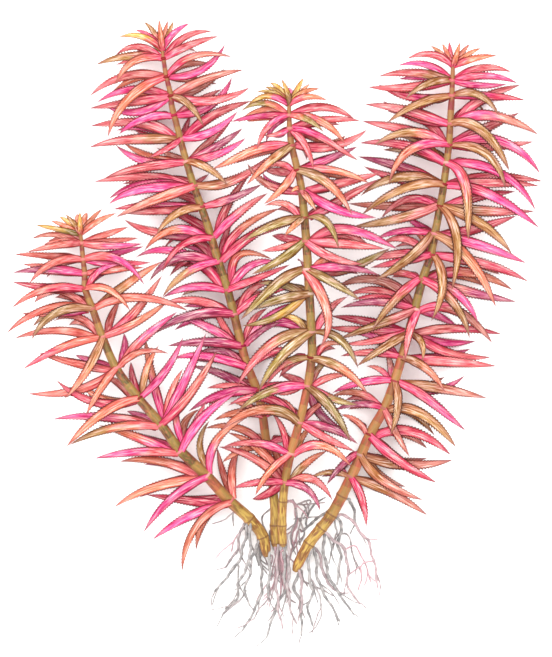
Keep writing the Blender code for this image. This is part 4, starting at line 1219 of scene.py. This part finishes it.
# %% Lay a bundle of thin pink roots below the middle stem
BUNDLE_ROOTS = 7
BUNDLE_SEED = 11
BUNDLE_PLACES = [(279, 545), (279, 565), (280, 594)]
BUNDLE_SPREADS = [(6, 2), (6, 5), (16, 16)]
BUNDLE_HEIGHT = 7.0
BUNDLE_RADIUS = 0.24 * MM
BUNDLE_PINK = (0.5, 1.0)
chance = np.random.default_rng(BUNDLE_SEED)
for number in range(BUNDLE_ROOTS):
    top, low, end = [np.array(place) + chance.uniform(-1, 1, 2) * spread
                     for place, spread in zip(BUNDLE_PLACES, BUNDLE_SPREADS)]
    route = [at(*top, BUNDLE_HEIGHT), at(*low, BUNDLE_HEIGHT / 2), at(*end, LOWEST / MM)]
    thread(fine, np.array(route), BUNDLE_RADIUS, chance.uniform(*BUNDLE_PINK), number)
print("roots in the bundle:", BUNDLE_ROOTS)

# %% Let rootlets grow from the main and side roots
ROOTLET_SEED = 7
ROOTLET_RADIUS = 0.27 * MM
ROOTLET_GAP = 13.0 * MM
ROOTLET_RANGE = (0.18, 0.92)
ROOTLET_LENGTHS = (5.0 * MM, 15.0 * MM)
ROOTLET_TURNS = (math.radians(14), math.radians(30))
ROOTLET_BEND = 0.22
ROOTLET_STEPS = 3
ROOTLET_SHRINKING = 0.5
ROOTLET_PINK = 0.15


def rootlet(line, row, length_share):
    """The route of one rootlet from a row of a root's line, turned off it to one side."""
    ahead = line[row + 1] - line[row - 1]
    heading = math.atan2(ahead[1], ahead[0]) + chance.uniform(*ROOTLET_TURNS) * chance.choice([-1, 1])
    length = chance.uniform(*ROOTLET_LENGTHS) * length_share
    bend = chance.uniform(-ROOTLET_BEND, ROOTLET_BEND)
    headings = [heading + k * bend for k in range(ROOTLET_STEPS)]
    steps = [np.array([math.cos(angle), math.sin(angle), 0]) for angle in headings]
    route = line[row] + np.cumsum([np.zeros(3)] + steps, axis=0) * length / ROOTLET_STEPS
    route[:, 2] = np.linspace(line[row, 2], max(LOWEST / 2, line[row, 2] - length / 2), len(route))
    return route


chance = np.random.default_rng(ROOTLET_SEED)
rootlets = 0
for number, (line, pink) in enumerate(threads):
    run = run_of(line)
    start, stop = [share * run[-1] for share in ROOTLET_RANGE]
    for along in np.arange(start, stop, ROOTLET_GAP):
        row = min(np.searchsorted(run, along + chance.uniform(0, ROOTLET_GAP)), len(line) - 2)
        route = rootlet(line, row, 1 - ROOTLET_SHRINKING * along / run[-1])
        flush = min(1.0, pink + chance.uniform(0, ROOTLET_PINK))
        thread(fine, route, ROOTLET_RADIUS, flush, number + rootlets)
        rootlets += 1
fine.piece("fine_roots", root_material, "stem")
print("rootlets:", rootlets, "faces:", len(fine.faces))

# %% [markdown]
# ## The table, the light and the camera
# The plant lies on plain near-white paper. Several small lamps would draw hard shadows that cross
# each other. One big soft lamp high above and a bright sky leave only faint ones. The camera looks
# straight down from far away with a long lens, so that the parts near it are hardly larger than
# those on the table.

# %% Lay the table
PAPER_WHITE = linear(252, 252, 251)
PAPER_ROUGHNESS = 0.9
PAPER_SHINE = 0.1
TABLE_REACH = 3.0


def table():
    """A wide pale floor under the plant."""
    finish = Finish("paper", PAPER_ROUGHNESS, PAPER_SHINE)
    finish.put(finish.shader, "Base Color", PAPER_WHITE)
    corners = [(x * TABLE_REACH, y * TABLE_REACH, 0) for x, y in ((-1, -1), (1, -1), (1, 1), (-1, 1))]
    mesh = bpy.data.meshes.new("paper")
    mesh.from_pydata(corners, [], [(0, 1, 2, 3)])
    mesh.materials.append(finish.material)
    floor = bpy.data.objects.new("paper", mesh)
    bpy.context.scene.collection.objects.link(floor)


table()
print("table reaches, in metres:", TABLE_REACH)

# %% Hang the lamp, and light the sky
LAMP_PLACE = (-0.35, 0.45, 1.6)
LAMP_SIZE = 1.6
LAMP_POWER = 48
SKY_COLOUR = (1, 1, 1, 1)
SKY_STRENGTH = 1.6
light = bpy.data.lights.new("top_lamp", "AREA")
light.size = LAMP_SIZE
light.energy = LAMP_POWER
lamp = bpy.data.objects.new("top_lamp", light)
lamp.location = LAMP_PLACE
lamp.rotation_euler = (-lamp.location).to_track_quat("-Z", "Y").to_euler()
bpy.context.scene.collection.objects.link(lamp)
world = bpy.data.worlds.new("studio")
world.use_nodes = True
sky = world.node_tree.nodes["Background"]
sky.inputs["Color"].default_value = SKY_COLOUR
sky.inputs["Strength"].default_value = SKY_STRENGTH
bpy.context.scene.world = world
bpy.context.scene.view_settings.view_transform = "Standard"
print("lamp height in metres:", LAMP_PLACE[2])

# %% Place the camera
PICTURE_SIZE = (552, 657)
CAMERA_HEIGHT = 3.0
SENSOR = 36.0
camera_data = bpy.data.cameras.new("camera")
camera_data.sensor_width = SENSOR
camera_data.lens = SENSOR * CAMERA_HEIGHT / (PICTURE_SIZE[1] * PICTURE_UNIT)
camera = bpy.data.objects.new("camera", camera_data)
camera.location = at(PICTURE_SIZE[0] / 2, PICTURE_SIZE[1] / 2)
camera.location.z = CAMERA_HEIGHT
bpy.context.scene.collection.objects.link(camera)
bpy.context.scene.camera = camera
print("lens in mm:", round(camera_data.lens))
